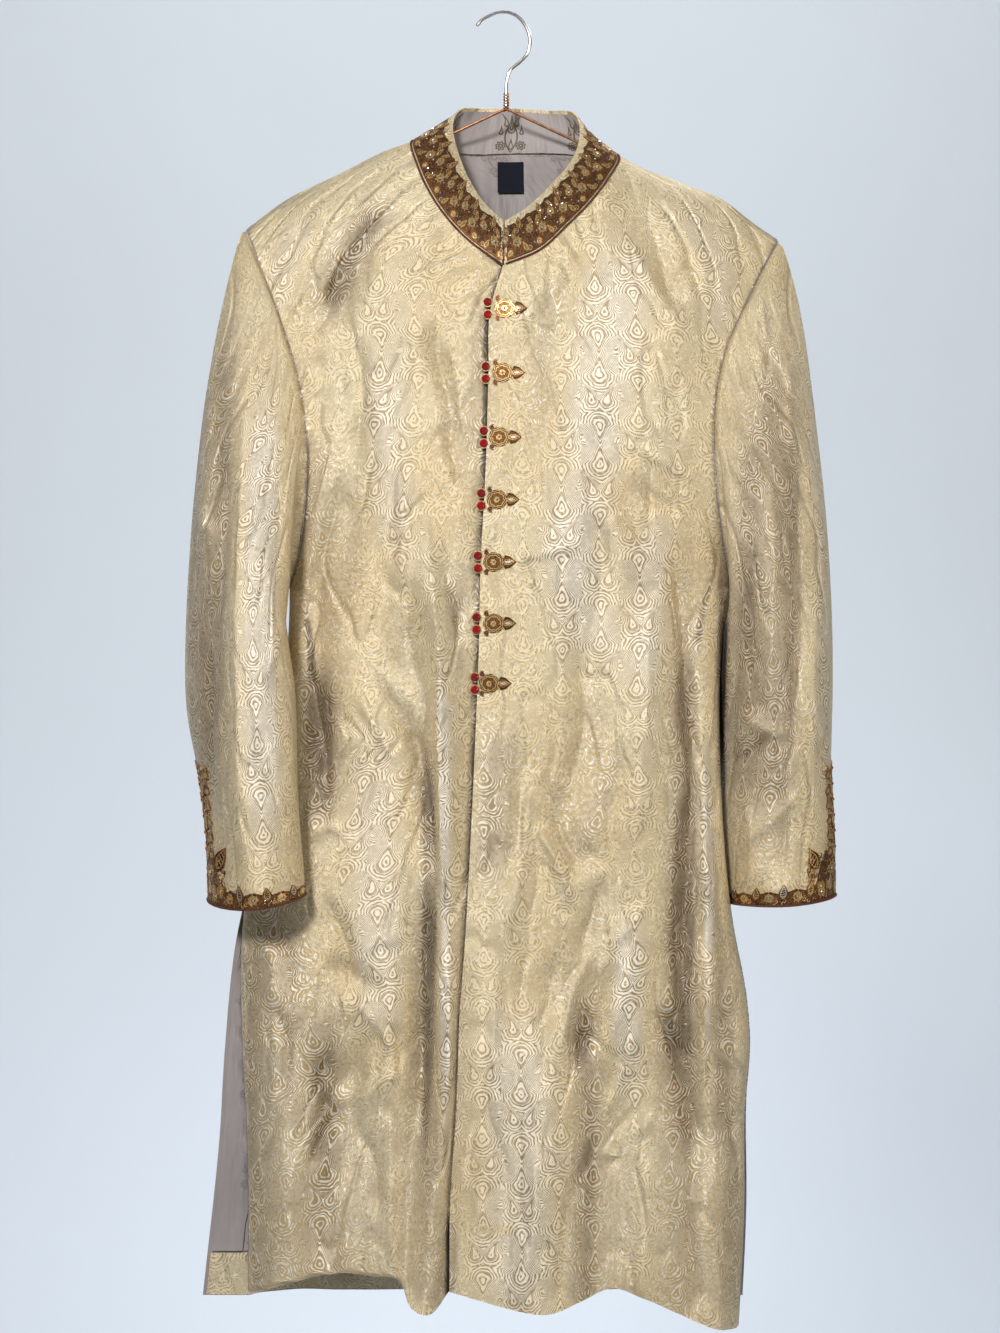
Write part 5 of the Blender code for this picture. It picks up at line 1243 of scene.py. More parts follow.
def rosette(work, carrier, s, t, size, turn=0.0, petals=8, heart=CRYSTAL):
    """A coiled round with a ring of petal loops and a stone at its heart."""
    angles = np.linspace(0, TURN, petals * 9, endpoint=False)
    petal = size * (0.80 + 0.20 * np.abs(np.sin((angles - turn) * petals / 2)))
    curled_line(work, carrier, s, t, petal, angles, 1.15, COPPER, 0.5, closed=True)
    coil = np.linspace(0, TURN * 2.6, 46)
    curled_line(work, carrier, s, t, size * (0.26 + 0.40 * coil / coil[-1]), coil + turn, 1, GOLD, 0.8)
    for spoke in np.arange(petals) * TURN / petals + turn:
        curled_line(work, carrier, s, t, np.array((0.62, 0.82)) * size, spoke, 0.9, GOLD, 0.8)
    work.bead_on(carrier, s, t, 1, size * 0.24, heart)


def leaf(work, carrier, s, t, length, width, lean, filling=GOLD):
    """A pointed leaf: a double outline with slanting stitches between."""
    share = np.linspace(0, 1, 12)
    side = width / 2 * np.sin(math.pi * share**0.75) * (1 - 0.25 * share)
    along = np.array((math.cos(lean), math.sin(lean)))
    across = np.array((-along[1], along[0]))
    for scale, slot, lift in ((1.0, COPPER, 0.6), (0.62, filling, 0.9)):
        left, right = (
            np.array([along * length * (0.5 + (u - 0.5) * (scale * 0.4 + 0.6)) + across * w * scale * hand
                      for u, w in zip(share, side)])
            for hand in (1, -1)
        )
        path = np.concatenate((left, right[::-1][1:-1])) + (s, t)
        if scale == 1.0:
            backing(work, carrier, *path.T)
        stitched_line(work, carrier, *path.T, 1, slot, lift, closed=True)
    for u in np.arange(0.2, 0.85, 0.16):
        w = width / 2 * math.sin(math.pi * u**0.75) * 0.5
        ends = np.array([along * length * (u - 0.05) - across * w, along * length * (u + 0.06) + across * w])
        stitched_line(work, carrier, *(ends + (s, t)).T, 0.8, filling, 0.9)


def scroll(work, carrier, s, t, size, turn, wind=1, slot=COPPER):
    """A curl that winds inwards."""
    angle = np.linspace(0, TURN * 1.35, 26)
    curled_line(work, carrier, s, t, size * (1 - 0.80 * angle / angle[-1]), turn + wind * angle, 1, slot, 0.4)


def scattered(work, carrier, low, high, count, radius, slot, chance):
    """Small beads here and there between s, t limits."""
    for s, t in chance.uniform(low, high, (count, 2)):
        work.bead_on(carrier, s, t, 0.5, radius * chance.uniform(0.75, 1.2), slot, sides=5)


# Materials

def operation(name):
    """A method that puts its value, and any others, through a Math node."""
    def method(*values):
        tree = values[0].tree
        made = tree.nodes.new("ShaderNodeMath")
        made.operation = name
        for place, value in enumerate(values):
            plug(tree, value, made.inputs[place])
        return Value(tree, made.outputs[0])
    return method


class Value:
    """A shader value that arithmetic builds nodes from."""

    def __init__(self, tree, socket):
        self.tree = tree
        self.socket = socket

    __add__, __sub__, __mul__, __truediv__ = map(operation, ("ADD", "SUBTRACT", "MULTIPLY", "DIVIDE"))
    least, most, size = map(operation, ("MINIMUM", "MAXIMUM", "ABSOLUTE"))
    part, whole, sine, root, angle = map(operation, ("FRACT", "FLOOR", "SINE", "SQRT", "ARCTAN2"))

    def between(self, low, high):
        """0 below low and 1 above high, eased."""
        made = self.tree.nodes.new("ShaderNodeMapRange")
        made.interpolation_type = "SMOOTHSTEP"
        plug(self.tree, self, made.inputs["Value"])
        made.inputs["From Min"].default_value = low
        made.inputs["From Max"].default_value = high
        return Value(self.tree, made.outputs["Result"])


def plug(tree, value, socket):
    if isinstance(value, Value):
        tree.links.new(value.socket, socket)
    else:
        socket.default_value = value


class Finish:
    """A material with helpers for the nodes that feed its Principled BSDF."""

    def __init__(self, name, **constants):
        self.material = bpy.data.materials.new(name)
        self.material.use_nodes = True
        self.tree = self.material.node_tree
        self.shader = self.tree.nodes["Principled BSDF"]
        for socket, value in constants.items():
            self.set(socket.replace("_", " "), value)

    def set(self, socket, value):
        plug(self.tree, value, self.shader.inputs[socket])

    def new(self, kind):
        return self.tree.nodes.new(kind)

    def flat(self):
        """The flat cloth's coordinates, across and up, in metres."""
        source = self.new("ShaderNodeUVMap")
        source.uv_map = "cloth"
        split = self.new("ShaderNodeSeparateXYZ")
        self.tree.links.new(source.outputs["UV"], split.inputs[0])
        return Value(self.tree, split.outputs["X"]), Value(self.tree, split.outputs["Y"])

    def vector(self, x, y):
        made = self.new("ShaderNodeCombineXYZ")
        for place, value in enumerate((x, y)):
            plug(self.tree, value, made.inputs[place])
        return Value(self.tree, made.outputs[0])

    def solid(self):
        """The place in the object's own space."""
        return Value(self.tree, self.new("ShaderNodeTexCoord").outputs["Object"])

    def attribute(self, name):
        made = self.new("ShaderNodeAttribute")
        made.attribute_name = name
        return Value(self.tree, made.outputs["Fac"])

    def texture(self, kind, output, **inputs):
        made = self.new(f"ShaderNodeTex{kind}")
        for name, value in inputs.items():
            plug(self.tree, value, made.inputs[name])
        return Value(self.tree, made.outputs[output])

    def noise(self, place, scale, detail=2.0):
        return self.texture("Noise", "Fac", Vector=place, Scale=scale, Detail=detail)

    def cells(self, place, scale):
        return self.texture("Voronoi", "Distance", Vector=place, Scale=scale)

    def blend(self, share, first, second):
        """A colour between two."""
        made = self.new("ShaderNodeMix")
        made.data_type = "RGBA"
        plug(self.tree, share, made.inputs["Factor"])
        for name, colour in (("A", first), ("B", second)):
            socket = next(s for s in made.inputs if s.name == name and s.type == "RGBA")
            if isinstance(colour, Value):
                plug(self.tree, colour, socket)
            else:
                socket.default_value = (*colour, 1)
        output = next(s for s in made.outputs if s.type == "RGBA")
        return Value(self.tree, output)

    def bump(self, height, distance):
        made = self.new("ShaderNodeBump")
        plug(self.tree, height, made.inputs["Height"])
        made.inputs["Distance"].default_value = distance
        self.tree.links.new(made.outputs["Normal"], self.shader.inputs["Normal"])


def leaf_shape(x, y, half_width, tip, lean=0.0):
    """1 on the outline of a round-footed, pointed leaf that stands on its foot, and 0 at its middle."""
    up = y.most(0.0)
    side = (x - up * up * lean) / half_width if lean else x / half_width
    side = side * (up * (TIP_TAPER / tip) + 1.0)
    rise = up / tip + y.least(0.0) / half_width
    return (side * side + rise * rise).root()


def paisley_repeat(finish, across, up):
    """The woven design: its motifs' outlines, the lines that echo them, and their inner lines."""
    column = (across / COLUMN_WIDTH).whole()
    x = ((across / COLUMN_WIDTH).part() - 0.5) * COLUMN_WIDTH
    y = (((up / REPEAT) + column * 0.5).part() - 0.5) * REPEAT
    mirrored = x.size()
    pair = leaf_shape(mirrored - PAIR[0], y - PAIR[1], PAIR[2], PAIR[3], PAIR_LEAN)
    flame = leaf_shape(x, y - FLAME[1], FLAME[2], FLAME[3])
    bud = leaf_shape(x, (y - BUD[1]) * -1.0, BUD[2], BUD[3])
    distance = ((pair - 1.0) * PAIR[2]).least((flame - 1.0) * FLAME[2]).least((bud - 1.0) * BUD[2])
    outline = distance.size().between(0.0009, 0.0003)
    sway = finish.noise(finish.vector(across, up), 150.0, 1.0)
    echo = (distance * (TURN / ECHO) + sway * (distance.size() * 500.0 + 6.0)).sine()
    return outline * 0.8, echo.between(0.0, 0.6)


def brocade():
    finish = Finish("brocade", Sheen_Weight=0.10, Sheen_Roughness=0.4, Specular_IOR_Level=0.9)
    across, up = finish.flat()
    place = finish.vector(across, up)
    outline, echo = paisley_repeat(finish, across, up)
    broken = finish.noise(place, 260.0, 2.0)
    lines = outline.most(echo * (broken.between(0.32, 0.55) * 0.5 + 0.5))
    wear = finish.noise(place, 7.0, 3.0)
    speck = finish.noise(place, 1000.0, 2.0)
    # The point attribute read here holds painted shade above 0 and painted highlight below 0
    fold = finish.attribute("painted_light")
    ground = finish.blend(wear.between(0.3, 0.7) * 0.5 + 0.5, GROUND_WARM, GROUND_PALE)
    # Painted highlight where the attribute is below 0, then painted shade where it is above 0
    ground = finish.blend(fold * -0.8, ground, GROUND_PAINTED_HIGHLIGHT)
    ground = finish.blend(fold.most(0.0) * 0.80, ground, GROUND_PAINTED_SHADE)
    # Threads turn silver at random, and a little more in the painted shade, as a painted reflection there
    silver = (fold.least(0.9) * 0.16 + speck * 0.5 + broken * 0.6).between(0.50, 0.66)
    thread = finish.blend(silver, THREAD_GOLD, THREAD_SILVER)
    colour = finish.blend(lines * 0.86, ground, thread)
    # Darkest painted shade at seams, gaps and lines, where the attribute passes 0.9
    finish.set("Base Color", finish.blend((fold - 0.9).most(0.0), colour, SEAM_SHADE))
    finish.set("Metallic", lines * 0.24 + 0.26)
    finish.set("Roughness", speck * 0.14 + lines * -0.08 + 0.34)
    weave = (across * (TURN / THREAD)).sine() * (up * (TURN / THREAD)).sine()
    crumple = finish.noise(place, 34.0, 2.0)
    wrinkle = (finish.noise(finish.vector(across * 1.7, up * 0.7 + across * 0.5), 13.0, 1.0) - 0.5).size()
    wrinkle = wrinkle.between(0.0, 0.07)
    finish.bump(lines * 0.8 + weave * 0.10 + speck * 0.3 + crumple * 1.2 + wrinkle * 2.8, 0.0004)
    return finish.material


def lining_figure(across, up):
    """Outlines of a small flower spray: two flowers on stems, buds, and a fan of leaves above."""
    x = ((across / SPRAY_STEP[0]).part() - 0.5) * SPRAY_STEP[0]
    y = ((up / SPRAY_STEP[1]).part() - 0.5) * SPRAY_STEP[1]
    side = x.size()
    flower_x, flower_y = side - 0.0092, y + 0.012
    reach = (flower_x * flower_x + flower_y * flower_y).root()
    petals = (flower_y.angle(flower_x) * 8.0).sine() * 0.0006
    rings = (reach - petals - 0.0037).size().least((reach - 0.0016).size())
    stem = (side - ((y + 0.019) * 100.0).sine() * 0.0058).size()
    stem = stem + (y - 0.012).most(0.0) * 9.0 + (y * -1.0 - 0.019).most(0.0) * 9.0
    bud = (leaf_shape(side - 0.0098, y - 0.001, 0.0016, 0.0050) - 1.0).size() * 0.0016
    fan = (leaf_shape(side - 0.0050, y - 0.009, 0.0021, 0.0075, 70.0) - 1.0).size() * 0.0021
    heart = (leaf_shape(x, y - 0.004, 0.0034, 0.0110) - 1.0).size() * 0.0034
    seed = (leaf_shape(x, y - 0.005, 0.0014, 0.0055) - 1.0).size() * 0.0014
    foot = (leaf_shape(x, y + 0.013, 0.0024, 0.0060) - 1.0).size() * 0.0024
    nearest = rings.least(stem).least(bud).least(fan).least(heart).least(seed).least(foot)
    return nearest.between(0.0010, 0.0005)


def satin(name, figure_strength):
    """Mauve-grey lining satin with fine puckers and a flower spray."""
    finish = Finish(name, Sheen_Weight=0.3, Specular_IOR_Level=0.55)
    across, up = finish.flat()
    place = finish.vector(across, up)
    cloud = finish.noise(place, 14.0, 3.0)
    pucker = finish.noise(finish.vector(across * 5.0, up), 26.0, 2.0)
    thread = (up * (TURN / THREAD)).sine()
    figure = lining_figure(across, up)
    ground = finish.blend(cloud, LINING_DARK, LINING_PALE)
    finish.set("Base Color", finish.blend(figure * figure_strength, ground, FIGURE))
    finish.set("Roughness", pucker * 0.2 + 0.30)
    finish.bump(pucker * 1.6 + thread * 0.03 + figure * 0.2, 0.001)
    return finish.material


def metal(name, colour, spots, roughness, scale=1400.0, metallic=1.0):
    """Wire, coil or stone with small lighter and darker places."""
    finish = Finish(name, Metallic=metallic)
    place = finish.solid()
    worn = finish.noise(place, scale, 2.0)
    finish.set("Base Color", finish.blend(worn.between(0.40, 0.62), colour, spots))
    finish.set("Roughness", worn * 0.2 + roughness)
    finish.bump(worn, 0.00002)
    return finish.material


def couched_ground():
    """Dark brown ground cloth, filled with fine couched coils."""
    finish = Finish("couched_ground")
    place = finish.solid()
    coils = finish.cells(place, 320.0)
    shimmer = finish.noise(place, 700.0, 2.0)
    rings = (coils * 22.0).sine().between(0.0, 0.9)
    finish.set("Base Color", finish.blend(rings * shimmer.between(0.35, 0.6), GROUND_BROWN, COIL_BROWN))
    finish.set("Metallic", rings * 0.6 + 0.15)
    finish.set("Roughness", shimmer * 0.3 + 0.3)
    finish.bump(rings, 0.0003)
    return finish.material


def stone(name, deep, bright):
    finish = Finish(name, Roughness=0.14, Coat_Weight=0.2, Coat_Roughness=0.05, Specular_IOR_Level=0.5)
    place = finish.solid()
    finish.set("Base Color", finish.blend(finish.noise(place, 260.0, 1.0), deep, bright))
    finish.bump(finish.noise(place, 500.0, 1.0), 0.00003)
    return finish.material


def woven_label():
    finish = Finish("woven_label", Specular_IOR_Level=0.2)
    place = finish.solid()
    thread = finish.noise(place, 1800.0, 2.0)
    finish.set("Base Color", finish.blend(thread, (0.004, 0.005, 0.012), (0.012, 0.014, 0.028)))
    finish.set("Roughness", thread * 0.2 + 0.7)
    finish.bump(thread, 0.0001)
    return finish.material


# The pieces

MATERIALS = {
    "brocade": brocade(),
    "satin": satin("lining_satin", 0.35),
    "collar_satin": satin("collar_lining_satin", 1.0),
    "gold": metal("gold_coil", (0.40, 0.225, 0.070), (0.95, 0.72, 0.36), 0.22, metallic=0.7),
    "copper": metal("copper_coil", (0.15, 0.055, 0.018), (0.38, 0.17, 0.055), 0.26, metallic=0.7),
    "dark": metal("dark_coil", (0.05, 0.020, 0.009), (0.13, 0.055, 0.025), 0.40),
    "silver": metal("silver_coil", (0.86, 0.80, 0.64), (0.96, 0.92, 0.80), 0.26),
    "crystal": metal("crystal", (0.93, 0.94, 0.97), (1.0, 1.0, 1.0), 0.06, scale=300.0),
    "ground": couched_ground(),
    "cord": metal("copper_cord", (0.075, 0.024, 0.012), (0.17, 0.058, 0.027), 0.50, metallic=0.3),
    "red": stone("red_stone", (0.16, 0.001, 0.004), (0.40, 0.004, 0.012)),
    "dark_red": stone("dark_red_stone", (0.10, 0.003, 0.006), (0.30, 0.008, 0.015)),
    "label": woven_label(),
    "chrome": metal("chrome_wire", (0.80, 0.81, 0.83), (0.55, 0.53, 0.50), 0.08, scale=160.0),
    "hanger": metal("copper_wire", (0.72, 0.36, 0.20), (0.45, 0.22, 0.12), 0.20, scale=160.0),
}
STITCHED = [MATERIALS[name] for name in STITCH_LOOKS]
LINED = [MATERIALS["brocade"], MATERIALS["satin"]]


def make_panels(halves):
    for half, panels in halves.items():
        for side, grid in panels.items():
            node = FRONT_NODES[side] if half == "front" else f"back_{side}"
            x, z = grid[..., 0], grid[..., 2]
            # Painted light for the colour: shade and highlight of the folds and broad shades, shade beside
            # the armhole and side seam, and shade on the underlap behind the placket's edge
            painted_light = painted_shade_and_highlight(cloth_rise(half, x, z), x, z, SHADES[half])
            painted_light = painted_light + seam_shade(grid[:, ::-1], 1)[:, ::-1]
            if node == FRONT_NODES["right"]:
                past = (x - placket_x(z)) / PLACKET_SHADE
                painted_light = painted_light + LAP_DARK * np.exp(-((past - LAP_DARK_AT) ** 2))
            normals = outward(grid, BODY_AXIS)
            piece = shell(f"{node}_cloth", grid, normals, SHELL, LINED, painted_light=painted_light)
            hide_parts(*(f"{node}_{height}" for height in PANEL_NODES[half]))


def painted_shade_and_highlight(rise, x, z, shades):
    """Painted shade (above 0) and painted highlight (below 0) at each point: how deep it lies in its folds,
    from -1 to 1, with the broad shades added.
    """
    broad = SHADE_GAIN * fold_rise(x, z, shades, SHADE_EDGE) / MM
    broad = np.minimum(broad, FOLD_DARK) + np.maximum(broad - LINE_DARK, 0)
    return np.clip(-rise / TROUGH_DEPTH, -1, 1) * TROUGH_SHARE + broad


def seam_shade(grid, axis):
    """Paints shade on the cloth beside a grid's first row or column, where it dips into the seam."""
    steps = np.linalg.norm(np.diff(grid, axis=axis), axis=2)
    start = np.zeros_like(np.take(steps, [0], axis=axis))
    away = np.concatenate((start, np.cumsum(steps, axis=axis)), axis=axis)
    return SEAM_DARK * np.exp(-((away / SEAM_SHADE_REACH) ** 2))


def make_sleeves(sleeves):
    for side, grid in sleeves.items():
        normals = ring_normals(grid)
        around = np.linalg.norm(np.roll(grid, -1, axis=1) - grid, axis=2)
        across = np.cumsum(around, axis=1) - around
        front = ARMHOLE_ROWS["front"] * FINE[1] // 2
        lengths = np.linalg.norm(np.diff(grid, axis=0), axis=2)
        up = np.concatenate((np.cumsum(lengths[::-1], axis=0)[::-1], np.zeros((1, grid.shape[1]))))
        flat = np.stack((across - across[:, front : front + 1], up), axis=2)
        x, z = grid[..., 0], grid[..., 2]
        # Painted shade and highlight from the front-facing creases and the broad shades, and painted shade
        # beside the armhole seam
        rise = np.where(normals[..., 1] < 0, fold_rise(x, z, SLEEVE_CREASES[side]), 0)
        painted_light = painted_shade_and_highlight(rise, x, z, SLEEVE_SHADES[side]) + seam_shade(grid, 0)
        piece = shell(f"sleeve_{side}_cloth", grid, normals, SHELL, LINED, flat, painted_light, ring=True)
        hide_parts(f"sleeve_{side}_front", f"sleeve_{side}_back")


def make_collar(collars):
    for side, grid in collars.items():
        normals = outward(grid, NECK_AXIS)
        flat = strip_coordinates(grid)
        piece = shell(f"collar_{side}_cloth", grid, normals, SHELL, LINED[:1], flat)
        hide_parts(f"collar_{side}")


def make_collar_work(collars):
    """The collar's band: a scalloped ground with rosettes, leaves, curls and stones along it."""
    for number, (side, grid) in enumerate(collars.items()):
        carrier = Carrier(grid, outward(grid, NECK_AXIS))
        chance = np.random.default_rng(COLLAR_SEED + number)
        low, high = (share * carrier.height for share in COLLAR_WORK)
        rows, columns = COLLAR_GROUND_POINTS
        s = np.linspace(0.002, carrier.length - 0.003, columns)[None, :]
        cusp = ((s + CUSP_AT) % COLLAR_REPEAT - CUSP_AT) / CUSP_WIDTH
        scallop = 0.0022 * np.abs(np.sin(s * math.pi / COLLAR_SCALLOP)) + CUSP_RISE * np.exp(-cusp ** 2)
        share = np.linspace(0, 1, rows)[:, None]
        points, normals = carrier.patch(s, low + (high + scallop - 0.002 - low) * share, COLLAR_GROUND_LIFT)
        ground = [MATERIALS["ground"]]
        piece = shell(f"collar_ground_{side}", points, normals, COLLAR_GROUND, ground)
        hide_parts(f"collar_beadwork_{side}")
        work = Stitches()
        for start in np.arange(COLLAR_START[side], carrier.length - 0.008, COLLAR_REPEAT):
            repeat(work, carrier, start, low, high, chance)
        limits = (COLLAR_CLEAR, low), (carrier.length - COLLAR_CLEAR, high)
        for count, radius, slot in COLLAR_BEADS:
            scattered(work, carrier, *limits, count, radius, slot, chance)
        edge = np.arange(0.003, carrier.length - 0.003, EDGE_COIL / 4)
        wave = EDGE_WAVE * np.sin(edge * TURN / EDGE_COIL)
        stitched_line(work, carrier, edge, low + EDGE_UP + wave, 1.2, COPPER, 1)
        work.finish(f"collar_stitches_{side}", STITCHED, "beadwork")


def repeat(work, carrier, start, low, high, chance):
    """One repeat of the collar's design."""
    levels = low, (low + high) / 2, high
    for along, level, up, size, petals, heart in COLLAR_ROSETTES:
        rosette(work, carrier, start + along, levels[level] + up, size, chance.uniform(0, 1), petals, heart)
    for along, level, up, *look in COLLAR_LEAVES:
        leaf(work, carrier, start + along, levels[level] + up, *look)
    for s, t, size, turn, wind in CURLS:
        scroll(work, carrier, start + s * COLLAR_REPEAT, low + t * (high - low), size, turn, wind,
               GOLD if wind > 0 else COPPER)
    fill_curls(work, carrier, (start, low), (start + COLLAR_REPEAT, high), COLLAR_FILL, chance)
    for s, t in STONES:
        work.bead_on(carrier, start + s * COLLAR_REPEAT, low + t * (high - low), 1, COLLAR_STONE, CRYSTAL)


def fill_curls(work, carrier, lows, highs, count, chance):
    """Short curved coils that fill what the larger figures leave."""
    small, large = FILL_SIZES
    for s, t, turn, size in chance.uniform((*lows, 0, small), (*highs, TURN, large), (count, 4)):
        angle = np.linspace(0, chance.uniform(*FILL_TURNS), FILL_POINTS)
        t_line = np.clip(t + size * np.sin(angle + turn), lows[1], highs[1])
        stitched_line(work, carrier, s + size * np.cos(angle + turn), t_line, 0.9,
                      FILL_LOOKS[int(s * 9000) % len(FILL_LOOKS)], 0.3)


def make_cuff_work(sleeves):
    """Each cuff's band, the strip up its outer edge, and their stones."""
    for number, (side, grid) in enumerate(sleeves.items()):
        carrier = cuff_carrier(grid)
        chance = np.random.default_rng(CUFF_SEED + number)
        length = carrier.length
        rows, columns = CUFF_GROUND_POINTS
        s = np.linspace(0, length, columns)[None, :]
        share = np.linspace(0, 1, rows)[:, None]
        profile = cuff_profile(s, carrier, side)
        heights = CUFF_FOOT + (profile - CUFF_FOOT)[:, :-1] * share
        points, outwards = carrier.patch(s[:, :-1], heights, CUFF_GROUND_LIFT)
        ground = [MATERIALS["ground"]]
        piece = shell(f"cuff_ground_{side}", points, outwards, CUFF_GROUND, ground, ring=True)
        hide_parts(f"cuff_beadwork_{side}", f"cuff_strip_{side}")
        work = Stitches()
        for index, at in enumerate(np.arange(0.012, length - 0.004, CUFF_REPEAT)):
            rosette(work, carrier, at, 0.0078, 0.0064, chance.uniform(0, 1), 7, (GOLD, CRYSTAL)[index % 2])
            leaf(work, carrier, at + 0.5 * CUFF_REPEAT, 0.0065, 0.0125, 0.0090, math.pi / 2 + 0.1,
                 (SILVER, GOLD)[index % 2])
            for share, *look in ((0.28, 1.0, 1, COPPER), (0.74, 2.0, -1, GOLD)):
                scroll(work, carrier, at + share * CUFF_REPEAT, 0.0050, 0.0026, *look)
        fill_curls(work, carrier, (0, 0.002), (length, 0.0100), int(length / 0.0016), chance)
        for high, spacing, radius, slot in CUFF_BEADS:
            scattered(work, carrier, (0, 0.002), (length, high), int(length / spacing), radius, slot, chance)
        behind, before, top = CUFF_BLOCK[side]
        seen = Seen(carrier)
        fill_curls(work, seen, (-behind, 0.008), (before, top), BLOCK_FILL, chance)
        for count, radius, slot in BLOCK_BEADS:
            scattered(work, seen, (-behind, 0.008), (before, top), count, radius, slot, chance)
        for look in CUFF_ROSETTES:
            rosette(work, seen, *look)
        leaf(work, seen, 0.62 * before, 0.0265, 0.0210, 0.0125, math.pi / 2 - 0.5)
        leaf(work, seen, 0.0040, 0.0300, 0.0130, 0.0070, 1.7)
        strip(work, seen, chance)
        work.finish(f"cuff_stitches_{side}", STITCHED, "beadwork")


def cuff_profile(s, carrier, side):
    """Height of the cuff's band round it: low, with scallops, and a block at the outer edge."""
    behind, before, top = CUFF_BLOCK[side]
    before = Seen(carrier).real(before)
    from_edge = np.where(s > carrier.length / 2, s - carrier.length, s)
    block = top * ease((before - from_edge) / (0.4 * before)) * ease((from_edge + behind) / 0.004)
    block = block * (0.93 + 0.07 * np.abs(np.sin(s * math.pi / 0.009)))
    return np.maximum(0.0105 + 0.003 * np.abs(np.sin(s * math.pi / CUFF_REPEAT)), block)


def strip(work, carrier, chance):
    """The narrow band of leaves up the sleeve's outer edge, with red stones along it."""
    foot = CUFF_BLOCK["right"][2] - 0.004
    for index, up in enumerate(np.arange(foot, STRIP_TOP, STRIP_STEP)):
        lean = 0.55 if index % 2 else -0.55
        leaf(work, carrier, 0.0065, up, 0.0120, 0.0065, math.pi / 2 - lean)
        leaf(work, carrier, 0.0040, up + 0.003, 0.0090, 0.0050, math.pi / 2 + lean)
        rosette(work, carrier, 0.0110, up + 0.0040, 0.0030, index, 5, GOLD)
        scroll(work, carrier, 0.0120, up + 0.0105, 0.0024, 0.5 * index, 1, GOLD)
        for s, t, radius, slot in STRIP_BEADS:
            work.bead_on(carrier, s, up + t, 1, radius, slot)
    fill_curls(work, carrier, (0.001, foot), (0.0120, STRIP_TOP), BLOCK_FILL, chance)


def make_motifs(fronts):
    """Each motif on the overlap: a round of coils, two loops, and a leaf that points outwards."""
    tree = surface_tree(fronts["left"])
    for number, (x, z) in enumerate(MOTIFS):
        drop = Drop(tree, x * MM, z * MM)
        work = Stitches()
        turn = np.linspace(0, TURN, 40, endpoint=False)
        backing(work, drop, MOTIF_ROUND + 0.0092 * np.cos(turn), 0.0088 * np.sin(turn))
        backing(work, drop, *np.array(MOTIF_TIP))
        for reach, slot, width in ((0.0082, GOLD, 1.1), (0.0064, GOLD, 1.5), (0.0048, COPPER, 1.2)):
            scalloped = reach * (1 + 0.06 * np.sin(turn * 8 + number))
            stitched_line(work, drop, MOTIF_ROUND + scalloped * np.cos(turn), 0.95 * scalloped * np.sin(turn),
                          width, slot, 0.6, closed=True)
        rosette(work, drop, MOTIF_ROUND, 0.0, 0.0040, 0.3 * number, 6, GOLD)
        leaf(work, drop, 0.0052, 0.0, 0.0118, 0.0082, 0.0, GOLD)
        leaf(work, drop, 0.0078, 0.0, 0.0060, 0.0026, 0.0, SILVER)
        for tilt in (-1, 1):
            for size, slot in ((0.0028, COPPER), (0.0016, DARK)):
                scroll(work, drop, -0.0086, 0.0086 * tilt, size, tilt, tilt, slot)
        for s, t, radius, slot in MOTIF_BEADS:
            work.bead_on(drop, s, t, 1.6, radius, slot)
        piece = work.finish(f"motif_{number + 1}_stitches", STITCHED, "beadwork")
        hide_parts(f"motif_{number + 1}")


def make_buttons():
    """Two faceted stones, one above the other, each in a beaded ring."""
    materials = [MATERIALS[name] for name in ("gold", "red", "dark_red", "crystal")]
    gold, red, dark_red, crystal = range(len(materials))
    towards = np.array(FORWARDS)
    turn = np.linspace(0, TURN, RING_POINTS, endpoint=False)
    for number in range(1, len(MOTIFS) + 1):
        low, high = (np.array(corner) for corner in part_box(f"button_{number}"))
        middle = (low + high) / 2 + (BUTTON_IN, 0, 0)
        work = Stitches()
        for rise, slot in ((STONE_STEP / 2, dark_red), (-STONE_STEP / 2, red)):
            centre = middle + (0, 0, rise)
            for reach, depth in RINGS:
                ring = np.column_stack((
                    STONE * reach * np.cos(turn), np.full(RING_POINTS, -depth), STONE * reach * np.sin(turn),
                ))
                work.tube(centre + ring, np.tile(towards, (RING_POINTS, 1)), RING_RADIUS, gold, closed=True)
            for angle in turn[::2]:
                reach = STONE * RING_BEADS_AT
                bead = centre + (reach * math.cos(angle), -RING_RADIUS, reach * math.sin(angle))
                work.bead(bead, towards, RING_BEAD, crystal, sides=5)
            work.stone(centre - (0, STONE_OUT, 0), towards, STONE, slot)
        piece = work.finish(f"button_{number}_stones", materials, "red_stone")
        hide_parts(f"button_{number}")


def make_cords(collars, sleeves):
    """Two-ply copper cord along the collar's foot and round each cuff."""
    for side, grid in collars.items():
        carrier = Carrier(grid, outward(grid, NECK_AXIS))
        s = np.arange(0.001, carrier.length - 0.001, CORD_STEP)
        points, normals = carrier.at(s, 0.0, CORD_RISE)
        twisted(f"collar_cord_{side}_twist", points, normals, f"collar_cord_{side}")
    for side, grid in sleeves.items():
        carrier = cuff_carrier(grid)
        s = np.linspace(0, carrier.length, int(carrier.length / CORD_STEP), endpoint=False)
        points, normals = carrier.at(s, 0.0004, CORD_RISE)
        twisted(f"cuff_cord_{side}_twist", points, normals, f"cuff_cord_{side}", closed=True)


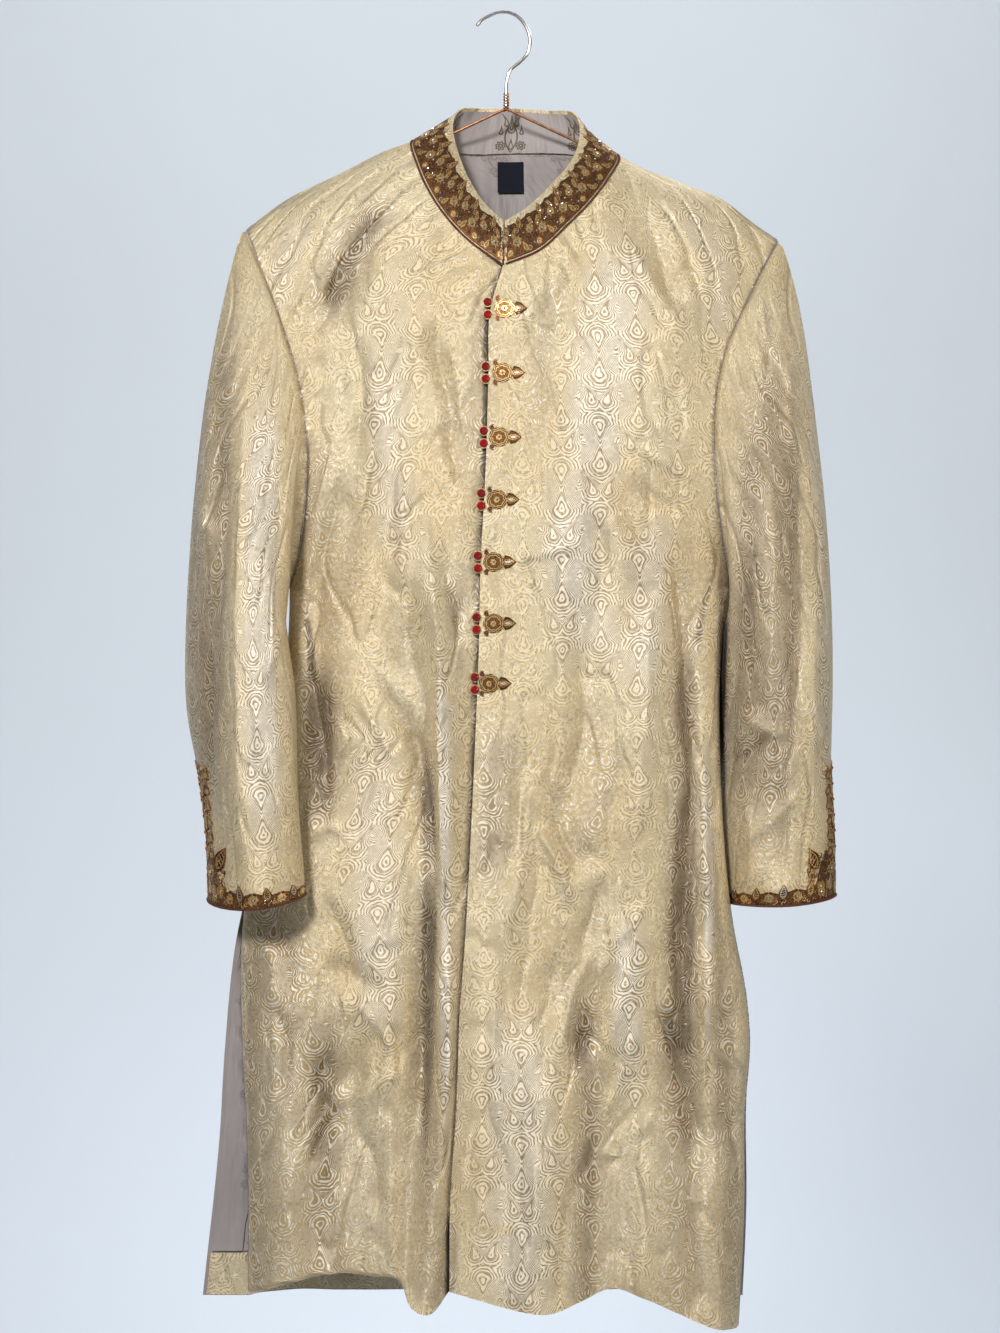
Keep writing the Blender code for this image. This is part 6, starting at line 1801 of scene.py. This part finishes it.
def twisted(name, path, normals, node, closed=False):
    along = chords(path)
    turns = round(along[-1] / CORD_PITCH)
    angle = np.linspace(0, TURN * turns, len(path), endpoint=not closed)
    ahead = np.gradient(path, axis=0)
    across = np.cross(ahead, normals)
    across /= np.linalg.norm(across, axis=1, keepdims=True)
    work = Stitches()
    for phase in (0, math.pi):
        swing = np.cos(angle + phase)[:, None] * across + np.sin(angle + phase)[:, None] * normals
        work.tube(path + swing * PLY * 0.75, normals, PLY, 0, sides=5, closed=closed)
    piece = work.finish(name, [MATERIALS["cord"]], "copper_cord")
    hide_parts(node)


def both_halves(halves):
    """One grid over the right and the left half, its columns running towards +X."""
    right, left = halves["right"][:, ::-1], halves["left"]
    whole = np.concatenate((right[:, :-1], left), axis=1)
    whole[:, right.shape[1] - 1] = (right[:, -1] + left[:, 0]) / 2
    return whole


def puckers(points, normals, depth, pitch, seed):
    """Lets a lining in a little more than it needs, in uneven upright puckers."""
    chance = np.random.default_rng(seed)
    across = np.linalg.norm(np.diff(points, axis=1), axis=2).mean(axis=0)
    s = np.concatenate(([0], np.cumsum(across)))
    wave = sum(np.sin(s * TURN / (pitch * scale) + chance.uniform(0, 6)) for scale in (1, 0.62, 1.7))
    v = np.linspace(0, 1, len(points))[:, None]
    strength = 0.35 + 0.65 * np.abs(2 * v - 1) ** 2
    return points - normals * (depth * (1 + wave[None, :] / 3) * strength)[..., None]


def make_linings(backs, collars):
    """The back lining, the strip beside the open slit, the hem facing, and the collar's lining."""
    whole = both_halves(backs)
    normals = outward(whole, BODY_AXIS)
    rows, columns = BACK_CELLS[1], 2 * BACK_CELLS[0]
    foot = rows - FACING_DEPTH
    slit_row = np.argmax(whole[:, 0, 2] < SLIT_TOP - SEAM_OPENS) / FINE[1]
    reach = np.linspace(0, columns, LINING_POINTS[1]) - BACK_CELLS[0]
    tops = np.interp(np.abs(reach), range(len(LINING_TOPS)), LINING_TOPS)
    made = {}
    lined, faced = ((edge, columns - edge) for edge in (LINING_EDGE, FACING_EDGE))
    for name, ends, sides, (down, across), top, look in (
        ("back_lining", (0, foot - FACING_GAP), lined, LINING_POINTS, tops, "satin"),
        ("slit_lining_right", (slit_row, foot - FACING_GAP), SLIT_LINING_EDGES, SLIT_POINTS, 0, "satin"),
        ("back_hem_facing", (foot, rows - FACING_HEM), faced, FACING_POINTS, 0, "brocade"),
    ):
        row, column = np.meshgrid(np.linspace(*ends, down), np.linspace(*sides, across), indexing="ij")
        row = np.maximum(row, top) * FINE[1]
        normal = sampled(normals, row, column * FINE[0])
        surface = sampled(whole, row, column * FINE[0]) - normal * LINING_OFF
        if look == "satin":
            surface = puckers(surface, normal, *BACK_PUCKERS)
        made[name] = surface - normal * LINING
        piece = shell(f"{name}_cloth", surface, normal, LINING, [MATERIALS["brocade"], MATERIALS[look]])
        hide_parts(name)
    band = both_halves(collars)
    normal = outward(band, NECK_AXIS)
    ends = COLLAR_LINING_TRIM, len(band[0]) - 1 - COLLAR_LINING_TRIM
    up, along = COLLAR_LINING_POINTS
    share, column = np.meshgrid(np.linspace(0, 1, up), np.linspace(*ends, along), indexing="ij")
    from_front = np.minimum(column, len(band[0]) - 1 - column) / len(band[0])
    foot, head = COLLAR_LINING_ROWS
    foot = foot * ease((from_front - COLLAR_LINING_FRONT) / COLLAR_LINING_FRONT)
    row = (foot + (head - foot) * share) * COLLAR_FINE
    facing = sampled(normal, row, column)
    surface = puckers(sampled(band, row, column) - facing * COLLAR_LINING_OFF, facing, *COLLAR_PUCKERS)
    flat = strip_coordinates(surface)
    flat += np.array(SPRAY_STEP) / 2 - flat[up // 2, along // 2]
    piece = shell("collar_lining_cloth", surface, facing, LINING, [MATERIALS["collar_satin"]], flat)
    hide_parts("collar_lining")
    return made["back_lining"]


def make_label(lining):
    """A bare woven label, sewn along its top edge and a little curled at its foot."""
    low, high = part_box("neck_label")
    tree = surface_tree(lining)
    rows, columns = LABEL_POINTS
    x, z = np.meshgrid(np.linspace(low[0], high[0], columns), np.linspace(high[2], low[2], rows))
    bow = 1 + 0.5 * np.linspace(-1, 1, columns)[None, :] ** 2
    curl = LABEL_CURL * np.linspace(0, 1, rows)[:, None] ** 3 * bow
    y = np.empty(x.shape)
    for place in np.ndindex(x.shape):
        hit, *_ = tree.ray_cast(Vector((x[place], LABEL_FROM, z[place])), Vector((0, 1, 0)))
        y[place] = hit[1] - LABEL_OFF - curl[place]
    points = np.stack((x, y, z), axis=2)
    normals = np.broadcast_to(FORWARDS, points.shape)
    piece = shell("neck_label_cloth", points, normals, -LABEL, [MATERIALS["label"]])
    work = Stitches()
    for start in np.linspace(*LABEL_STITCHES):
        ends = sampled(points, np.array((LABEL_SEAM, LABEL_SEAM)), np.array((start, start + 0.5)))
        work.tube(ends - (0, 0.0003, 0), np.tile(FORWARDS, (2, 1)), 0.0002, 0)
    thread = work.finish("neck_label_thread", [MATERIALS["dark"]], "label")
    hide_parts("neck_label")
    return thread


def make_hanger():
    """The chrome hook, and the copper wire with its twisted neck."""
    hook = Stitches()
    path = spline([(x * MM, 0, z * MM) for x, z in HOOK_PATH], np.linspace(0, 1, 110))
    hook.tube(path, np.tile(FORWARDS, (len(path), 1)), HOOK_RADIUS, 0, sides=12)
    round_piece(hook, "hanger_hook_wire", "chrome", "chrome", "hanger_hook")
    wire = Stitches()
    corners = [np.array((x * MM, 0, z * MM)) for x, z in WIRE_CORNERS]
    path = []
    for index, corner in enumerate(corners):
        before, after = corners[index - 1], corners[(index + 1) % len(corners)]
        reach = WIRE_CORNER_RADII[index] * MM
        enter, leave = (
            corner + (end - corner) / np.linalg.norm(end - corner) * reach for end in (before, after)
        )
        t = np.linspace(0, 1, 7)[:, None]
        path += list((1 - t) ** 2 * enter + 2 * t * (1 - t) * corner + t**2 * leave)
        end = after + (corner - after) / np.linalg.norm(corner - after) * reach
        path += [leave + (end - leave) * share for share in np.linspace(0, 1, 14)[1:-1]]
    wire.tube(path, np.tile(FORWARDS, (len(path), 1)), WIRE_RADIUS, 0, sides=10, closed=True)
    angle = np.linspace(0, TURN * TWIST_TURNS, TWIST_POINTS)
    height = np.linspace(*TWIST_Z, TWIST_POINTS)
    axis = np.column_stack((np.full(TWIST_POINTS, HOOK_PATH[-1][0] * MM), np.zeros(TWIST_POINTS), height))
    for phase in (0, math.pi):
        coil = np.column_stack((HOOK_PATH[-1][0] * MM + TWIST_REACH * np.cos(angle + phase),
                                TWIST_REACH * np.sin(angle + phase), height))
        wire.tube(coil, coil - axis, WIRE_RADIUS * TWIST_THIN, 0, sides=6)
    round_piece(wire, "hanger_wire_round", "hanger", "copper", "hanger_wire")


def round_piece(work, name, look, slot, node):
    piece = work.finish(name, [MATERIALS[look]], slot)
    piece.data.shade_smooth()
    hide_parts(node)


def plaster(name):
    finish = Finish(f"plaster_{name}", Roughness=0.9, Specular_IOR_Level=0.2)
    place = finish.solid()
    finish.set("Base Color", finish.blend(finish.noise(place, 1.2, 3.0), PLASTER_DIM, PLASTER))
    finish.bump(finish.noise(place, 60.0, 2.0), 0.0003)
    return finish.material


def make_stage():
    """A pale floor under the coat, a plain wall behind it, and soft lights."""
    side = STAGE_HALF
    corners = {
        "floor": ((-side, -side, FLOOR), (side, -side, FLOOR), (side, WALL, FLOOR), (-side, WALL, FLOOR)),
        "wall": ((-side, WALL, FLOOR), (side, WALL, FLOOR), (side, WALL, side), (-side, WALL, side)),
    }
    for name, points in corners.items():
        mesh = bpy.data.meshes.new(name)
        mesh.from_pydata(points, [], [(0, 1, 2, 3)])
        obj = linked(name, mesh)
        mesh.materials.append(plaster(name))
    for name, place, aim, size, watts, colour in LIGHTS:
        lamp = bpy.data.lights.new(name, "AREA")
        lamp.shape = "RECTANGLE"
        lamp.size, lamp.size_y = size
        lamp.energy = watts
        lamp.color = colour
        obj = linked(name, lamp)
        obj.location = place
        obj.rotation_euler = (Vector(aim) - Vector(place)).to_track_quat("-Z", "Y").to_euler()
    bpy.context.scene.view_settings.view_transform = "Standard"
    world = bpy.data.worlds.new("surroundings")
    world.use_nodes = True
    world.node_tree.nodes["Background"].inputs["Color"].default_value = (*SKY, 1)
    world.node_tree.nodes["Background"].inputs["Strength"].default_value = SKY_STRENGTH
    bpy.context.scene.world = world


def make_camera():
    camera = bpy.data.cameras.new("camera")
    camera.sensor_width = SENSOR
    camera.lens = SENSOR * CAMERA_FOCAL / IMAGE_LONG_SIDE
    obj = linked("camera", camera)
    obj.location = CAMERA_PLACE
    obj.rotation_euler = (math.pi / 2, 0, 0)
    bpy.context.scene.camera = obj


fronts, backs, sleeves, collars = (
    {side: surface(side) for side in SIDES} for surface in (front_panel, back_panel, sleeve_grid, collar_grid)
)
make_panels({"front": fronts, "back": backs})
make_sleeves(sleeves)
make_collar(collars)
make_collar_work(collars)
make_cuff_work(sleeves)
make_motifs(fronts)
make_buttons()
make_cords(collars, sleeves)
make_label(make_linings(backs, collars))
make_hanger()
make_stage()
make_camera()
